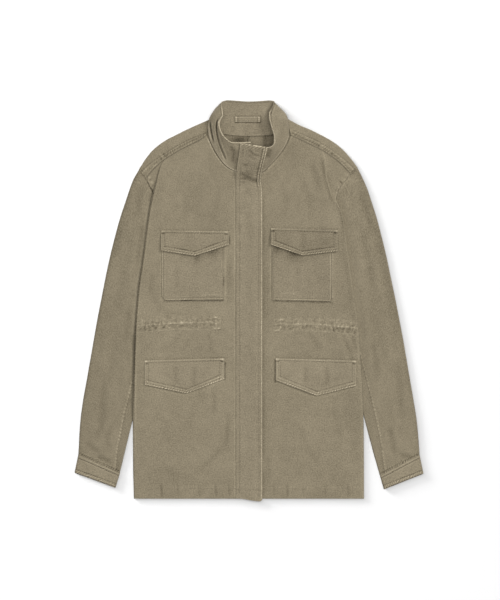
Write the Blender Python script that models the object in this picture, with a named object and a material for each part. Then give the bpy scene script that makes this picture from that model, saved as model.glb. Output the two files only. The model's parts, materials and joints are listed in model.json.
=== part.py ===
"""Field jacket laid flat on its back, front up, modelled cloth piece by cloth piece.

Plan sizes are read off a pattern chart: columns run to the wearer's left, rows run
from the collar down to the hem, and one square is SQ metres. Heights are in
millimetres above the surface that the jacket lies on. Every cloth piece is a
mid-surface worked out from the tables below, given its wall along its own normals. Right (r)
and left (l) are the wearer's, so the right front lies on the side of low columns.
"""

import math

import bpy
import numpy as np

# ---------------------------------------------------------------- driving sizes
SQ = 0.0021  # one chart square
COL0, ROW0 = 249.001, 300.763  # chart place of the origin, the middle of the outline
WALL = 1.2  # canvas, one layer
CUFF_WALL = 2.0  # cuff band, canvas doubled
SEAM = 0.3  # clearance of two pieces at a seam
HEM = 498.5  # chart row of the hem edge

LEVEL_BACK = 0.6  # mid-height of the layer that lies on the surface
LEVEL_FRONT = 4.2  # mid-height of the fronts away from the sleeves
LEVEL_TUCK = 2.2  # upper sleeve layer where it lies under the body
LEVEL_RETURN = 4.2  # the fronts' turned-under edge, over the sleeves
LEVEL_SLEEVE = 4.8  # upper sleeve layer in the open
RAISE = 4.2  # how much higher the fronts ride over the sleeves

CHAIN_COL, CHAIN_WIDTH, CHAIN_HEIGHT = 253.5, 5.4, 2.2
TAPE_WIDTH, TAPE_WALL = 15.0, 0.8


def table(names, rows):
    """One array for each named column."""
    return dict(zip(names.split(), np.array(rows, float).T, strict=True))


# Side folds of the fronts (fold), where the turned-under cloth ends at the armhole
# or side seam (end), and how far it has turned: 0 steps down outwards, 1 turns under.
FOLD = {
    "r": table(
        "fold_row fold_col end_col end_row turn",
        [
            (160.0, 164.0, 146.9, 178.1, 0.0),
            (167.0, 160.0, 147.7, 180.6, 0.0),
            (176.0, 157.2, 149.1, 184.4, 0.0),
            (182.0, 155.8, 151.1, 187.5, 0.25),
            (187.0, 154.6, 153.6, 190.2, 0.5),
            (192.0, 153.3, 155.2, 194.0, 0.75),
            (198.0, 151.8, 156.4, 199.5, 1.0),
            (210.0, 149.3, 157.8, 210.5, 1.0),
            (230.0, 146.4, 160.3, 231.0, 1.0),
            (250.0, 143.9, 162.3, 251.5, 1.0),
            (268.0, 141.8, 163.5, 269.0, 1.0),
            (280.0, 140.4, 158.5, 281.0, 1.0),
            (300.0, 138.4, 149.5, 300.0, 1.0),
            (330.0, 136.7, 140.2, 330.0, 1.0),
            (365.0, 135.3, 138.4, 365.0, 1.0),
            (400.0, 133.8, 136.9, 400.0, 1.0),
            (415.0, 133.3, 136.4, 415.0, 1.0),
            (430.0, 133.2, 136.2, 430.0, 1.0),
            (465.0, 133.4, 136.5, 465.0, 1.0),
            (HEM, 134.2, 137.4, HEM, 1.0),
        ],
    ),
    "l": table(
        "fold_row fold_col end_col end_row turn",
        [
            (150.8, 322.5, 350.2, 174.3, 0.0),
            (162.3, 325.6, 346.7, 178.6, 0.0),
            (176.0, 327.0, 342.7, 183.0, 0.0),
            (185.0, 329.3, 339.5, 187.4, 0.0),
            (191.0, 331.2, 337.7, 191.5, 0.1),
            (196.0, 332.9, 336.3, 196.3, 0.3),
            (201.0, 335.0, 335.2, 201.5, 0.5),
            (206.0, 338.0, 334.6, 206.5, 0.75),
            (212.0, 341.3, 334.1, 213.0, 1.0),
            (230.0, 344.4, 333.6, 232.0, 1.0),
            (250.0, 347.0, 333.5, 251.0, 1.0),
            (268.0, 349.7, 334.0, 269.0, 1.0),
            (280.0, 351.4, 339.0, 281.0, 1.0),
            (300.0, 354.0, 347.5, 300.0, 1.0),
            (330.0, 358.1, 354.4, 330.0, 1.0),
            (365.0, 360.5, 357.3, 365.0, 1.0),
            (400.0, 362.5, 359.4, 400.0, 1.0),
            (415.0, 363.1, 360.0, 415.0, 1.0),
            (430.0, 363.4, 360.3, 430.0, 1.0),
            (465.0, 363.6, 360.5, 465.0, 1.0),
            (HEM, 363.7, 360.6, HEM, 1.0),
        ],
    ),
}
# How much of RAISE the fronts have at the fold, row by row.
LIFT = {
    "r": table(
        "row share",
        [(150, 0), (160, 0.06), (170, 0.5), (182, 0.8), (200, 1), (395, 1), (432, 0)],
    ),
    "l": table(
        "row share",
        [(146, 0), (152, 0.04), (166, 0.4), (182, 0.65), (200, 0.9), (212, 1), (395, 1), (432, 0)],
    ),
}
# Inner edge of the sleeve: hidden under the body above row 421, free below it.
INNER = {
    "r": table(
        "row col",
        [(189, 153), (203, 156), (232, 160.3), (252, 162.3), (269, 163.6), (282, 162.6),
         (300, 160), (320, 156), (350, 150), (383, 142), (421, 132.4), (450, 125.4), (472.3, 120.0)],
    ),
    "l": table(
        "row col",
        [(189, 338), (203, 335.4), (232, 333.7), (252, 333.6), (269, 334.0), (282, 335.3),
         (300, 338), (320, 342), (350, 348), (383, 355.8), (421, 365.0), (450, 372.6), (474.8, 379.6)],
    ),
}
# Seams of the fronts: the neck seam from the zip edge to the shoulder, then the
# forward shoulder seam out to the armhole.
NECK = {
    "r": table(
        "col row",
        [(206.4, 134.9), (208.9, 140.6), (214.0, 151.4), (219.9, 160.4), (226.2, 167.1),
         (234.0, 171.2), (241.0, 172.9), (250.9, 173.5)],
    ),
    "l": table(
        "col row",
        [(256.1, 173.5), (263.9, 172.3), (269.4, 166.7), (275.6, 160.6), (282.3, 152.5),
         (287.7, 143.7), (291.2, 135.5)],
    ),
}
SHOULDER = {
    "r": table(
        "col row",
        [(146.9, 178.1), (148.6, 175.4), (156.0, 166.9), (164.0, 160.0), (170.0, 156.1),
         (177.3, 151.6), (186.7, 146.5), (200.0, 140.0), (206.4, 134.9)],
    ),
    "l": table(
        "col row",
        [(291.2, 135.5), (305.0, 142.3), (322.5, 150.8), (329.3, 155.2), (338.7, 162.1),
         (346.2, 169.6), (350.2, 174.3)],
    ),
}
# Line over which the back rolls to the front, from the neck to the shoulder tip.
ROLL = {
    "r": table(
        "col row",
        [(209.4, 119.6), (204.0, 121.9), (197.0, 125.0), (186.0, 130.0), (176.0, 135.0),
         (166.4, 140.0), (159.0, 145.0), (153.2, 150.0), (145.3, 160.0), (139.7, 169.7)],
    ),
    "l": table(
        "col row",
        [(287.4, 118.9), (293.0, 122.0), (299.0, 125.0), (311.0, 130.0), (321.0, 135.0),
         (330.0, 140.0), (337.0, 145.0), (342.4, 150.0), (350.9, 160.0), (356.4, 167.7)],
    ),
}
BACK_NECK = {
    "r": table(
        "col row",
        [(209.3, 121.4), (212.6, 129.0), (218.0, 133.2), (225.0, 135.0), (235.0, 136.4), (248.75, 136.9)],
    ),
    "l": table(
        "col row",
        [(249.05, 136.9), (262.0, 136.4), (273.0, 134.9), (280.0, 133.0), (286.1, 128.3), (288.3, 120.8)],
    ),
}
# The back's own armhole and side seam, from the shoulder tip to the hem.
BACK_SIDE = {
    "r": table(
        "row col",
        [(170.3, 140.8), (179, 146.7), (190.4, 151.8), (200, 155.6), (212, 158.7), (231, 161.4),
         (250, 163.4), (270, 164.7), (281, 159.6), (300, 150.2), (330, 140.9), (365, 139.0),
         (400, 137.5), (430, 136.8), (465, 137.1), (HEM, 138.0)],
    ),
    "l": table(
        "row col",
        [(168.3, 355.3), (179, 347.2), (190.4, 339.6), (200, 336.0), (212, 333.4), (231, 332.6),
         (250, 332.4), (270, 332.9), (281, 338.0), (300, 346.8), (330, 353.7), (365, 356.7),
         (400, 358.8), (430, 359.7), (465, 359.9), (HEM, 360.0)],
    ),
}
# Sleeves: outer edge from the shoulder tip down to the cuff seam, and the armhole
# edge of the upper layer from the shoulder tip to the underarm point.
OUTER = {
    "r": table(
        "col row",
        [(139.4, 170.6), (133.2, 180), (129.0, 190), (125.4, 200), (119.4, 220), (114.2, 240),
         (109.3, 260), (105.1, 280), (101.2, 300), (97.3, 320), (93.8, 340), (90.3, 360),
         (86.8, 380), (83.2, 400), (80.5, 420), (79.4, 435), (78.9, 446), (78.4, 454.0)],
    ),
    "l": table(
        "col row",
        [(356.8, 168.6), (363.4, 180), (367.6, 190), (370.9, 200), (377.2, 220), (382.4, 240),
         (387.1, 260), (391.3, 280), (395.5, 300), (399.4, 320), (403.2, 340), (406.6, 360),
         (410.0, 380), (413.4, 400), (416.6, 420), (418.1, 435), (418.9, 446), (419.5, 454.0)],
    ),
}
CAP = {
    "r": table(
        "col row",
        [(139.4, 170.6), (142.8, 175.0), (145.9, 179.1), (147.8, 184.6), (151.2, 190.9),
         (154.6, 199.0), (157.6, 212), (160.3, 232), (162.3, 252), (163.6, 269)],
    ),
    "l": table(
        "col row",
        [(356.8, 168.6), (354.2, 171.9), (351.2, 175.2), (347.6, 179.9), (340.6, 188.0),
         (337.2, 195.6), (335.4, 206), (334.0, 218), (333.6, 245), (334.0, 269)],
    ),
}
CUFF = {
    "r": table("col row", [(78.3, 454.9), (120.0, 473.2), (115.6, 487.4), (74.6, 472.7)]),
    "l": table("col row", [(419.6, 454.9), (379.9, 475.7), (383.7, 489.0), (423.4, 473.6)]),
}
# Collar stations from the right front end round the back to the left front end:
# neck edge n, top edge e and how far the band bows out at mid-height b.
COLLAR = table(
    "n_col n_row n_z e_col e_row e_z b_col b_row b_z",
    [
        (250.4, 172.6, 4.2, 250.5, 142.2, 22.0, 0.0, 0.0, 2.0),
        (241.0, 172.0, 4.2, 240.0, 142.8, 23.0, -0.4, 0.3, 1.0),
        (234.3, 170.3, 4.2, 233.0, 142.8, 24.5, -0.5, 0.4, 0.0),
        (227.0, 166.0, 4.2, 226.3, 139.1, 27.0, -0.8, 0.4, -1.5),
        (221.0, 159.2, 4.3, 221.7, 133.2, 28.5, -1.0, 0.4, -2.0),
        (215.4, 150.3, 4.4, 219.6, 128.0, 29.5, -1.2, 0.2, -2.0),
        (210.6, 140.0, 4.6, 219.2, 123.5, 30.0, -1.6, 0.0, -1.0),
        (209.0, 133.0, 4.8, 221.0, 119.0, 30.0, -2.4, -0.5, 0.5),
        (209.4, 126.6, 4.2, 222.8, 115.5, 28.0, -4.2, -1.5, 3.0),
        (211.4, 126.4, 2.6, 222.4, 110.5, 23.0, -5.8, -2.0, 4.0),
        (214.8, 130.0, 1.7, 221.6, 104.8, 13.5, -6.2, -1.6, 1.5),
        (219.2, 132.7, 1.5, 223.6, 101.6, 6.0, -3.0, -1.0, 0.2),
        (225.0, 134.2, 1.5, 228.2, 100.5, 3.0, -0.5, 0.0, 0.0),
        (235.0, 135.5, 1.5, 236.5, 101.0, 2.2, 0.0, 0.0, 0.0),
        (248.9, 136.0, 1.5, 249.0, 101.7, 2.0, 0.0, 0.0, 0.0),
        (262.0, 135.6, 1.5, 261.0, 101.2, 2.2, 0.0, 0.0, 0.0),
        (273.0, 134.0, 1.5, 269.6, 100.6, 3.0, 0.5, 0.0, 0.0),
        (279.4, 131.8, 1.5, 273.4, 101.8, 6.0, 3.0, -1.0, 0.2),
        (284.0, 127.8, 1.7, 273.3, 104.8, 13.5, 6.2, -1.6, 1.5),
        (286.4, 124.6, 2.6, 270.9, 109.8, 22.5, 6.4, -2.0, 4.0),
        (287.4, 125.4, 4.2, 269.2, 114.4, 27.5, 5.6, -1.5, 3.8),
        (288.4, 129.8, 4.8, 269.4, 119.3, 29.5, 3.8, -0.5, 1.6),
        (288.2, 135.6, 4.6, 270.8, 124.8, 29.5, 2.4, 0.0, -0.4),
        (285.8, 143.0, 4.4, 272.8, 131.0, 29.0, 1.4, 0.3, -2.0),
        (280.5, 151.5, 4.3, 274.3, 136.8, 28.0, 1.0, 0.4, -2.0),
        (274.2, 159.4, 4.2, 274.5, 142.3, 27.0, 0.8, 0.4, -1.5),
        (268.0, 165.8, 4.2, 272.0, 146.2, 25.5, 0.6, 0.4, 0.0),
        (262.8, 170.8, 4.2, 267.0, 147.6, 24.0, 0.8, 0.5, 3.0),
        (256.6, 172.6, 4.2, 257.2, 146.4, 22.0, 0.0, 0.0, 2.0),
    ],
)
COLLAR_LAYER = 0.85  # each layer's mid-surface from the band's middle
# Wind flap: stitched edge, free edge and height along the zip.
PLACKET = table(
    "row edge free height",
    [
        (0.0, 240.5, 265.0, 26.4),
        (8.5, 239.4, 263.2, 23.6),
        (16.5, 238.3, 261.2, 19.2),
        (24.0, 237.2, 259.9, 14.4),
        (31.0, 236.5, 259.8, 10.2),
        (38.0, 236.1, 261.5, 7.4),
        (46.0, 236.0, 262.3, 6.2),
        (70.0, 236.0, 262.3, 6.0),
        (355.0, 236.0, 262.2, 6.0),
    ],
)
PLACKET_TOP, PLACKET_TILT = 143.4, 0.17  # row of its top edge, fall per column
# Pocket pieces by corner, seen from above, from the top corner nearest the sleeve.
POCKETS = table(
    "low_col low_top low_bottom high_col high_top high_bottom",
    [(162.2, 238.5, 300.8, 224.2, 238.5, 300.2), (271.9, 238.5, 300.4, 333.2, 238.5, 301.8)],
)
FLAPS = table(
    "low_col low_top low_bottom tip_col tip_row high_col high_top high_bottom rise",
    [
        (161.2, 230.5, 250.6, 194.8, 255.7, 229.0, 231.4, 244.7, 3.0),
        (270.7, 228.2, 244.7, 302.5, 255.4, 337.6, 230.2, 251.2, 3.0),
        (144.7, 360.6, 384.6, 186.4, 393.2, 224.4, 358.4, 379.0, 1.5),
        (275.7, 358.4, 380.2, 316.9, 395.6, 355.9, 360.6, 385.8, 1.5),
    ],
)
LOOP = dict(col=(235.2, 260.0), row=119.3, width=9.5, wall=1.0, rise=1.6)
SLIDER = dict(row=156.0, length=11.0, width=8.4, height=4.4)
PULL = dict(length=20.0, width=5.6, wall=1.0)

OUT = {"r": -1.0, "l": 1.0}  # column direction away from the middle
ZIP_EDGE = {"r": 250.9, "l": 256.1}
BACK_EDGE = {"r": 248.75, "l": 249.05}
MM = SQ * 1000  # millimetres in a square


# ---------------------------------------------------------------- smooth tables
def smooth(x, xs, ys):
    """Monotone cubic through the points (xs, ys), flat outside them."""
    xs, ys = np.asarray(xs, float), np.asarray(ys, float)
    if xs[0] > xs[-1]:
        xs, ys = xs[::-1], ys[::-1]
    h = np.diff(xs)
    d = np.diff(ys) / h
    m = np.empty_like(ys)
    m[0], m[-1] = d[0], d[-1]
    both = d[:-1] * d[1:]
    m[1:-1] = np.where(both > 0, 2 * both / np.where(both > 0, d[:-1] + d[1:], 1), 0)
    x = np.clip(x, xs[0], xs[-1])
    i = np.clip(np.searchsorted(xs, x, side="right") - 1, 0, len(h) - 1)
    t = (x - xs[i]) / h[i]
    return (
        ys[i] * (1 + 2 * t) * (1 - t) ** 2
        + h[i] * m[i] * t * (1 - t) ** 2
        + ys[i + 1] * t * t * (3 - 2 * t)
        + h[i] * m[i + 1] * t * t * (t - 1)
    )


def ease(t):
    t = np.clip(t, 0, 1)
    return t * t * (3 - 2 * t)


def along(curve, t):
    """(col, row) at share t of the length of a curve table."""
    col, row = curve["col"], curve["row"]
    s = np.concatenate([[0], np.cumsum(np.hypot(np.diff(col), np.diff(row)))])
    s /= s[-1]
    return smooth(t, s, col), smooth(t, s, row)


def moved_in(curve, side, by):
    """A shoulder roll line moved into the garment by a distance in millimetres."""
    col, row = curve["col"], curve["row"]
    dc, dr = np.gradient(col), np.gradient(row)
    length = np.hypot(dc, dr)
    return {
        "col": col + OUT[side] * -1 * dr / length * by / MM,
        "row": row + np.abs(dc) / length * by / MM,
    }


# ---------------------------------------------------------------- cloth heights
def fold_col(side, row):
    f = FOLD[side]
    return smooth(row, f["fold_row"], f["fold_col"])


def inward(side, col, row):
    """Columns from the side fold towards the middle."""
    return (fold_col(side, row) - col) * OUT[side]


def tuck_width(side, row):
    t = INNER[side]
    return np.maximum(inward(side, smooth(row, t["row"], t["col"]), row), 0)


def return_level(row):
    return LEVEL_BACK + (LEVEL_RETURN - LEVEL_BACK) * (1 - ease((row - 400) / 30))


def front_z(side, col, row):
    share = smooth(row, LIFT[side]["row"], LIFT[side]["share"])
    reach = tuck_width(side, row) + 2
    return LEVEL_FRONT + RAISE * share * (1 - ease((inward(side, col, row) - reach) / 20))


def back_z(side, col, row):
    share = ease((row - 246) / 22) * (1 - ease((row - 400) / 30))
    reach = tuck_width(side, row) + 3
    rise = LEVEL_RETURN - LEVEL_BACK
    return LEVEL_BACK + rise * share * (1 - ease((inward(side, col, row) - reach) / 9))


def sleeve_z(side, col, row):
    outside = -inward(side, col, row)
    return LEVEL_TUCK + (LEVEL_SLEEVE - LEVEL_TUCK) * ease((outside - 1) / 9)


def zip_z(row):
    """Middle of the fronts and of the collar ends along the zip."""
    v = np.clip((172.6 - row) / 30.4, 0, 1)
    return LEVEL_FRONT + 17.8 * v + 8 * v * (1 - v)


# ---------------------------------------------------------------- front panels
def seam_row(side, col):
    """Row of the front's top edge: neck seam, then shoulder seam."""
    neck, shoulder = NECK[side], SHOULDER[side]
    on_neck = (col - (neck["col"][0] if side == "r" else neck["col"][-1])) * OUT[side] < 0
    return np.where(
        on_neck,
        smooth(col, neck["col"], neck["row"]),
        smooth(col, shoulder["col"], shoulder["row"]),
    )


def roll_radius(side, row):
    top = LEVEL_FRONT + RAISE * smooth(row, LIFT[side]["row"], LIFT[side]["share"])
    return (top - return_level(row)) / 2


def front_grid(side, us, rows):
    """Upper layer: us from the zip edge (0) to the side fold (1), rows at the fold."""
    f = FOLD[side]
    u, fold_row = np.meshgrid(us, rows, indexing="ij")
    first = f["fold_row"][0]
    v = (fold_row - first) / (HEM - first)
    inset = roll_radius(side, fold_row) / MM
    edge = fold_col(side, fold_row) - OUT[side] * inset
    zip_edge = ZIP_EDGE[side]
    col = zip_edge + u * (edge - zip_edge)
    top_edge = f["fold_col"][0] - OUT[side] * inset[0, 0]
    top = seam_row(side, zip_edge + u * (top_edge - zip_edge))
    row = top + v * (HEM - top)
    z = front_z(side, col, row)
    return np.stack([col, row, z], -1)


def turned_grid(side, rows, arc=4, run=3, soft=None):
    """The cloth past the side fold: over the roll, then on to the armhole or side seam."""
    f = FOLD[side]
    fold_row = np.asarray(rows, float)
    turn = smooth(fold_row, f["fold_row"], f["turn"])
    end_col = smooth(fold_row, f["fold_row"], f["end_col"])
    end_row = smooth(fold_row, f["fold_row"], f["end_row"])
    r = roll_radius(side, fold_row)
    low = return_level(fold_row)
    step = {"r": 1.4, "l": 7.0}[side]  # width of the step down near the shoulder
    out = OUT[side]
    fold = fold_col(side, fold_row)
    shoulder = SHOULDER[side]
    # The first row follows the shoulder seam out to the armhole.
    sag_share = 1 - ease((fold_row - fold_row[0]) / 22)
    columns = []
    for k in range(1, arc + 1):
        t = k / arc
        under = (-r + r * math.sin(math.pi * t), low + r + r * math.cos(math.pi * t))
        down = (-r + (r + step) * t, low + 2 * r * (1 - ease(t)))
        reach = (1 - turn) * down[0] + turn * under[0]
        z = (1 - turn) * down[1] + turn * under[1]
        col = fold + out * reach / MM
        drop = smooth(col[0], shoulder["col"], shoulder["row"]) - fold_row[0]
        columns.append((col, fold_row + drop * sag_share, z))
    last = columns[-1]
    dip = 0.8 * 4 * turn * (1 - turn)
    for k in range(1, run + 1):
        t = k / run
        col = last[0] + (end_col - last[0]) * t
        row = last[1] + (end_row - last[1]) * t
        top_col = last[0][0] + (end_col[0] - last[0][0]) * t
        chord = last[1][0] + (end_row[0] - last[1][0]) * t
        sag = smooth(top_col, shoulder["col"], shoulder["row"]) - chord
        columns.append((col, row + sag * sag_share, low - dip * t))
    return np.stack([np.stack(c, -1) for c in columns], 0)


def front_surface(side, us, rows, arc=4, run=3):
    return np.concatenate(
        [front_grid(side, us, rows), turned_grid(side, rows, arc, run)], 0
    )


# ---------------------------------------------------------------- back panels
ROLL_R = (LEVEL_FRONT - LEVEL_BACK) / 2


def back_top(side, col):
    neck = BACK_NECK[side]
    line = moved_in(ROLL[side], side, ROLL_R + WALL / 2)
    corner = line["col"][0]
    on_neck = (col - corner) * OUT[side] < 0
    return np.where(
        on_neck,
        smooth(col, neck["col"], neck["row"]),
        smooth(col, line["col"], line["row"]),
    )


def back_grid(side, us, rows):
    """Back half: us from the centre-back seam (0) to the armhole and side seam (1)."""
    b = BACK_SIDE[side]
    u, side_row = np.meshgrid(us, rows, indexing="ij")
    first = b["row"][0]
    v = (side_row - first) / (HEM - first)
    edge = smooth(side_row, b["row"], b["col"])
    middle = BACK_EDGE[side]
    col = middle + u * (edge - middle)
    top = back_top(side, middle + u * (b["col"][0] - middle))
    row = top + v * (HEM - top)
    return np.stack([col, row, back_z(side, col, row)], -1)


def shoulder_grid(side, us, first_row, arc=3, run=2):
    """The back's shoulder rolled over to the forward shoulder seam, starting on back_grid's top edge."""
    start = back_grid(side, us, first_row)[:, 0]
    line = moved_in(ROLL[side], side, ROLL_R + WALL / 2)
    outer = moved_in(ROLL[side], side, WALL / 2)
    shoulder = SHOULDER[side]
    share = (us - us[0]) / (us[-1] - us[0])
    s_in = np.abs(start[:, 0] - line["col"][0]) / abs(line["col"][-1] - line["col"][0])
    out_col = smooth(s_in, np.abs(line["col"] - line["col"][0]) / abs(line["col"][-1] - line["col"][0]), outer["col"])
    out_row = smooth(s_in, np.abs(line["col"] - line["col"][0]) / abs(line["col"][-1] - line["col"][0]), outer["row"])
    seam_t = share if side == "l" else 1 - share
    seam_col, seam_row_ = along(shoulder, seam_t)
    # clear of the fronts by the seam gap, and of the sleeve at the tip
    gap = 0.4
    to_c, to_r = start[:, 0] - seam_col, start[:, 1] - seam_row_
    length = np.hypot(to_c, to_r)
    seam_col, seam_row_ = seam_col + gap * to_c / length, seam_row_ + gap * to_r / length
    rows = [start]
    for k in range(1, arc + 1):
        a = math.pi * k / arc
        share_out = math.sin(a)
        rows.append(
            np.stack(
                [
                    start[:, 0] + (out_col - start[:, 0]) * share_out,
                    start[:, 1] + (out_row - start[:, 1]) * share_out,
                    np.full(len(us), LEVEL_BACK + ROLL_R * (1 - math.cos(a))),
                ],
                -1,
            )
        )
    last = rows[-1]
    end = np.stack([seam_col, seam_row_, np.full(len(us), LEVEL_FRONT)], -1)
    rows += [last + (end - last) * k / run for k in range(1, run + 1)]
    return np.stack(rows[::-1], 1)


# ---------------------------------------------------------------- sleeves
def coons(first, last, left, right, u, v):
    """(col, row) inside four edge curves: first and last run along u, left and right along v."""
    a, b = np.stack(along(first, u), -1), np.stack(along(last, u), -1)
    c, d = np.stack(along(left, v), -1), np.stack(along(right, v), -1)
    corners = [np.array([e["col"][i], e["row"][i]]) for e, i in ((first, 0), (first, -1), (last, 0), (last, -1))]
    u, v = u[..., None], v[..., None]
    flat = (
        corners[0] * (1 - u) * (1 - v)
        + corners[1] * u * (1 - v)
        + corners[2] * (1 - u) * v
        + corners[3] * u * v
    )
    return (1 - v) * a + v * b + (1 - u) * c + u * d - flat


def inner_curve(side):
    t = INNER[side]
    start = CAP[side]["row"][-1]
    keep = t["row"] > start
    return {
        "col": np.concatenate([[CAP[side]["col"][-1]], t["col"][keep]]),
        "row": np.concatenate([[start], t["row"][keep]]),
    }


def sleeve_edges(side, lower):
    """Edge curves of one layer, pulled in by half a wall at the two folds."""
    cap = CAP[side]
    if lower:
        b = BACK_SIDE[side]
        keep = b["row"] < 271
        cap = {"col": b["col"][keep] + OUT[side] * 0.75, "row": b["row"][keep] + 0.3}
        cap["col"][0], cap["row"][0] = CAP[side]["col"][0], CAP[side]["row"][0]
        cap["col"][-1], cap["row"][-1] = CAP[side]["col"][-1], CAP[side]["row"][-1]
    outer, inner = OUTER[side], inner_curve(side)
    seam = {
        "col": np.array([outer["col"][-1], inner["col"][-1]]),
        "row": np.array([outer["row"][-1], inner["row"][-1]]),
    }
    return cap, seam, outer, inner


def sleeve_grid(side, us, vs):
    """Ring after ring from the armhole to the cuff. us are places across the flattened
    tube: 0 at the outer fold, 1 at the inner fold, then back to 2 along the lower layer."""
    u, v = np.meshgrid(us, vs, indexing="ij")
    lower = u > 1
    across = np.where(lower, 2 - u, u)
    upper_xy = coons(*sleeve_edges(side, False), across, v)
    lower_xy = coons(*sleeve_edges(side, True), across, v)
    # towards the two folds both layers meet
    edge = np.minimum(across, 1 - across)
    blend = np.clip(edge / 0.06, 0, 1)[..., None]
    middle = (upper_xy + lower_xy) / 2
    upper_xy = middle + (upper_xy - middle) * blend
    lower_xy = middle + (lower_xy - middle) * blend
    xy = np.where(lower[..., None], lower_xy, upper_xy)
    top = sleeve_z(side, upper_xy[..., 0], upper_xy[..., 1])
    centre, r = (top + LEVEL_BACK) / 2, (top - LEVEL_BACK) / 2
    width = np.hypot(
        *(coons(*sleeve_edges(side, False), np.ones_like(v), v) - coons(*sleeve_edges(side, False), np.zeros_like(v), v)).transpose(2, 0, 1)
    ) * MM
    depth = np.clip(edge * width / r, 0, 1)
    rise = np.sqrt(np.clip(1 - (1 - depth) ** 2, 0, 1)) * r
    z = np.where(lower, centre - rise, centre + rise)
    # half a wall inside the outline
    pull = (WALL / 2 / MM) * (1 - 2 * np.clip(across, 0, 1))
    xy = xy.copy()
    xy[..., 0] -= OUT[side] * pull * 1.0
    return np.concatenate([xy, z[..., None]], -1)


def cuff_grid(side, us, vs, wall=CUFF_WALL):
    c = CUFF[side]
    corner = np.stack([c["col"], c["row"]], -1)
    u, v = np.meshgrid(us, vs, indexing="ij")
    lower = u > 1
    across = np.where(lower, 2 - u, u)
    top_edge = corner[0] + (corner[1] - corner[0]) * across[..., None]
    bottom_edge = corner[3] + (corner[2] - corner[3]) * across[..., None]
    xy = top_edge + (bottom_edge - top_edge) * v[..., None]
    low = wall / 2
    high = LEVEL_SLEEVE + 0.4
    centre, r = (low + high) / 2, (high - low) / 2
    width = 45 * MM
    depth = np.clip(np.minimum(across, 1 - across) * width / r, 0, 1)
    rise = np.sqrt(np.clip(1 - (1 - depth) ** 2, 0, 1)) * r
    z = np.where(lower, centre - rise, centre + rise)
    xy[..., 0] -= OUT[side] * (wall / 2 / MM) * (1 - 2 * across)
    return np.concatenate([xy, z[..., None]], -1)


# ---------------------------------------------------------------- collar
def collar_mid(us, vs):
    c = COLLAR
    n = len(c["n_col"]) - 1
    s = np.arange(n + 1) / n
    get = lambda name, u: smooth(u, s, c[name])
    u, v = np.meshgrid(us, vs, indexing="ij")
    parts = []
    for axis in ("col", "row", "z"):
        start, end, bow = get("n_" + axis, u), get("e_" + axis, u), get("b_" + axis, u)
        parts.append(start + (end - start) * v + 4 * v * (1 - v) * bow)
    return np.stack(parts, -1)


# ---------------------------------------------------------------- pieces laid on the fronts
def front_side(col):
    return np.where(col < 253.5, 0, 1)


def on_front(col, row, off):
    z = np.where(front_side(col) == 0, front_z("r", col, row), front_z("l", col, row))
    return np.stack([col, row, z + off], -1)


def placket_grid(us, rows):
    p = PLACKET
    u, along_row = np.meshgrid(us, rows, indexing="ij")
    edge = smooth(along_row, p["row"], p["edge"])
    free = smooth(along_row, p["row"], p["free"])
    col = edge + (free - edge) * u
    share = along_row / p["row"][-1]
    top = PLACKET_TOP + PLACKET_TILT * (col - 240.5)
    bottom = HEM + 2.6 * ease((u - 0.1) / 0.8) - 1.4 * ease((u - 0.93) / 0.07)
    row = top + (bottom - top) * share
    swell = 1.2 + 1.2 * (1 - ease((row - 168) / 14))
    z = smooth(along_row, p["row"], p["height"]) + swell * np.exp(-(((col - CHAIN_COL) / 6.0) ** 2))
    return np.stack([col, row, z], -1)


def pocket_grid(i, us, vs, off=WALL + SEAM + 0.2):
    p = {k: a[i] for k, a in POCKETS.items()}
    u, v = np.meshgrid(us, vs, indexing="ij")
    col = p["low_col"] + (p["high_col"] - p["low_col"]) * u
    top = p["low_top"] + (p["high_top"] - p["low_top"]) * u
    bottom = p["low_bottom"] + (p["high_bottom"] - p["low_bottom"]) * u
    near = u if i == 0 else 1 - u  # the lower corner nearest the side is cut off round
    bottom = bottom - 3.6 * (1 - ease(near / 0.07))
    row = top + (bottom - top) * v
    return on_front(col, row, off)


def flap_grid(i, us, vs):
    f = {k: a[i] for k, a in FLAPS.items()}
    u, v = np.meshgrid(us, vs, indexing="ij")
    tip = (f["tip_col"] - f["low_col"]) / (f["high_col"] - f["low_col"])
    col = f["low_col"] + (f["high_col"] - f["low_col"]) * u
    top = f["low_top"] + (f["high_top"] - f["low_top"]) * u
    bottom = np.where(
        u < tip,
        f["low_bottom"] + (f["tip_row"] - f["low_bottom"]) * u / tip,
        f["tip_row"] + (f["high_bottom"] - f["tip_row"]) * (u - tip) / (1 - tip),
    )
    row = top + (bottom - top) * v
    off = WALL + SEAM + 0.2
    if i < 2:  # the chest flaps lie over their pockets
        off = off + (WALL + SEAM + 0.2) * ease((row - 232.5) / 5)
    return on_front(col, row, off + f["rise"] * v**2)


def tip_share(i):
    f = {k: a[i] for k, a in FLAPS.items()}
    return (f["tip_col"] - f["low_col"]) / (f["high_col"] - f["low_col"])


# ---------------------------------------------------------------- meshes
def metres(points):
    p = np.asarray(points, float)
    return np.stack(
        [(p[..., 0] - COL0) * SQ, (ROW0 - p[..., 1]) * SQ, p[..., 2] / 1000], -1
    )


def quads(nu, nv, ring=False, start=0):
    n = nu if ring else nu - 1
    return [
        (
            start + i * nv + j,
            start + (i + 1) % nu * nv + j,
            start + (i + 1) % nu * nv + j + 1,
            start + i * nv + j + 1,
        )
        for i in range(n)
        for j in range(nv - 1)
    ]


def material(name, colour, rough, metallic=0.0):
    m = bpy.data.materials.new(name)
    m.use_nodes = True
    shader = m.node_tree.nodes["Principled BSDF"]
    shader.inputs["Base Color"].default_value = (*colour, 1)
    shader.inputs["Roughness"].default_value = rough
    shader.inputs["Metallic"].default_value = metallic
    return m


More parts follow.
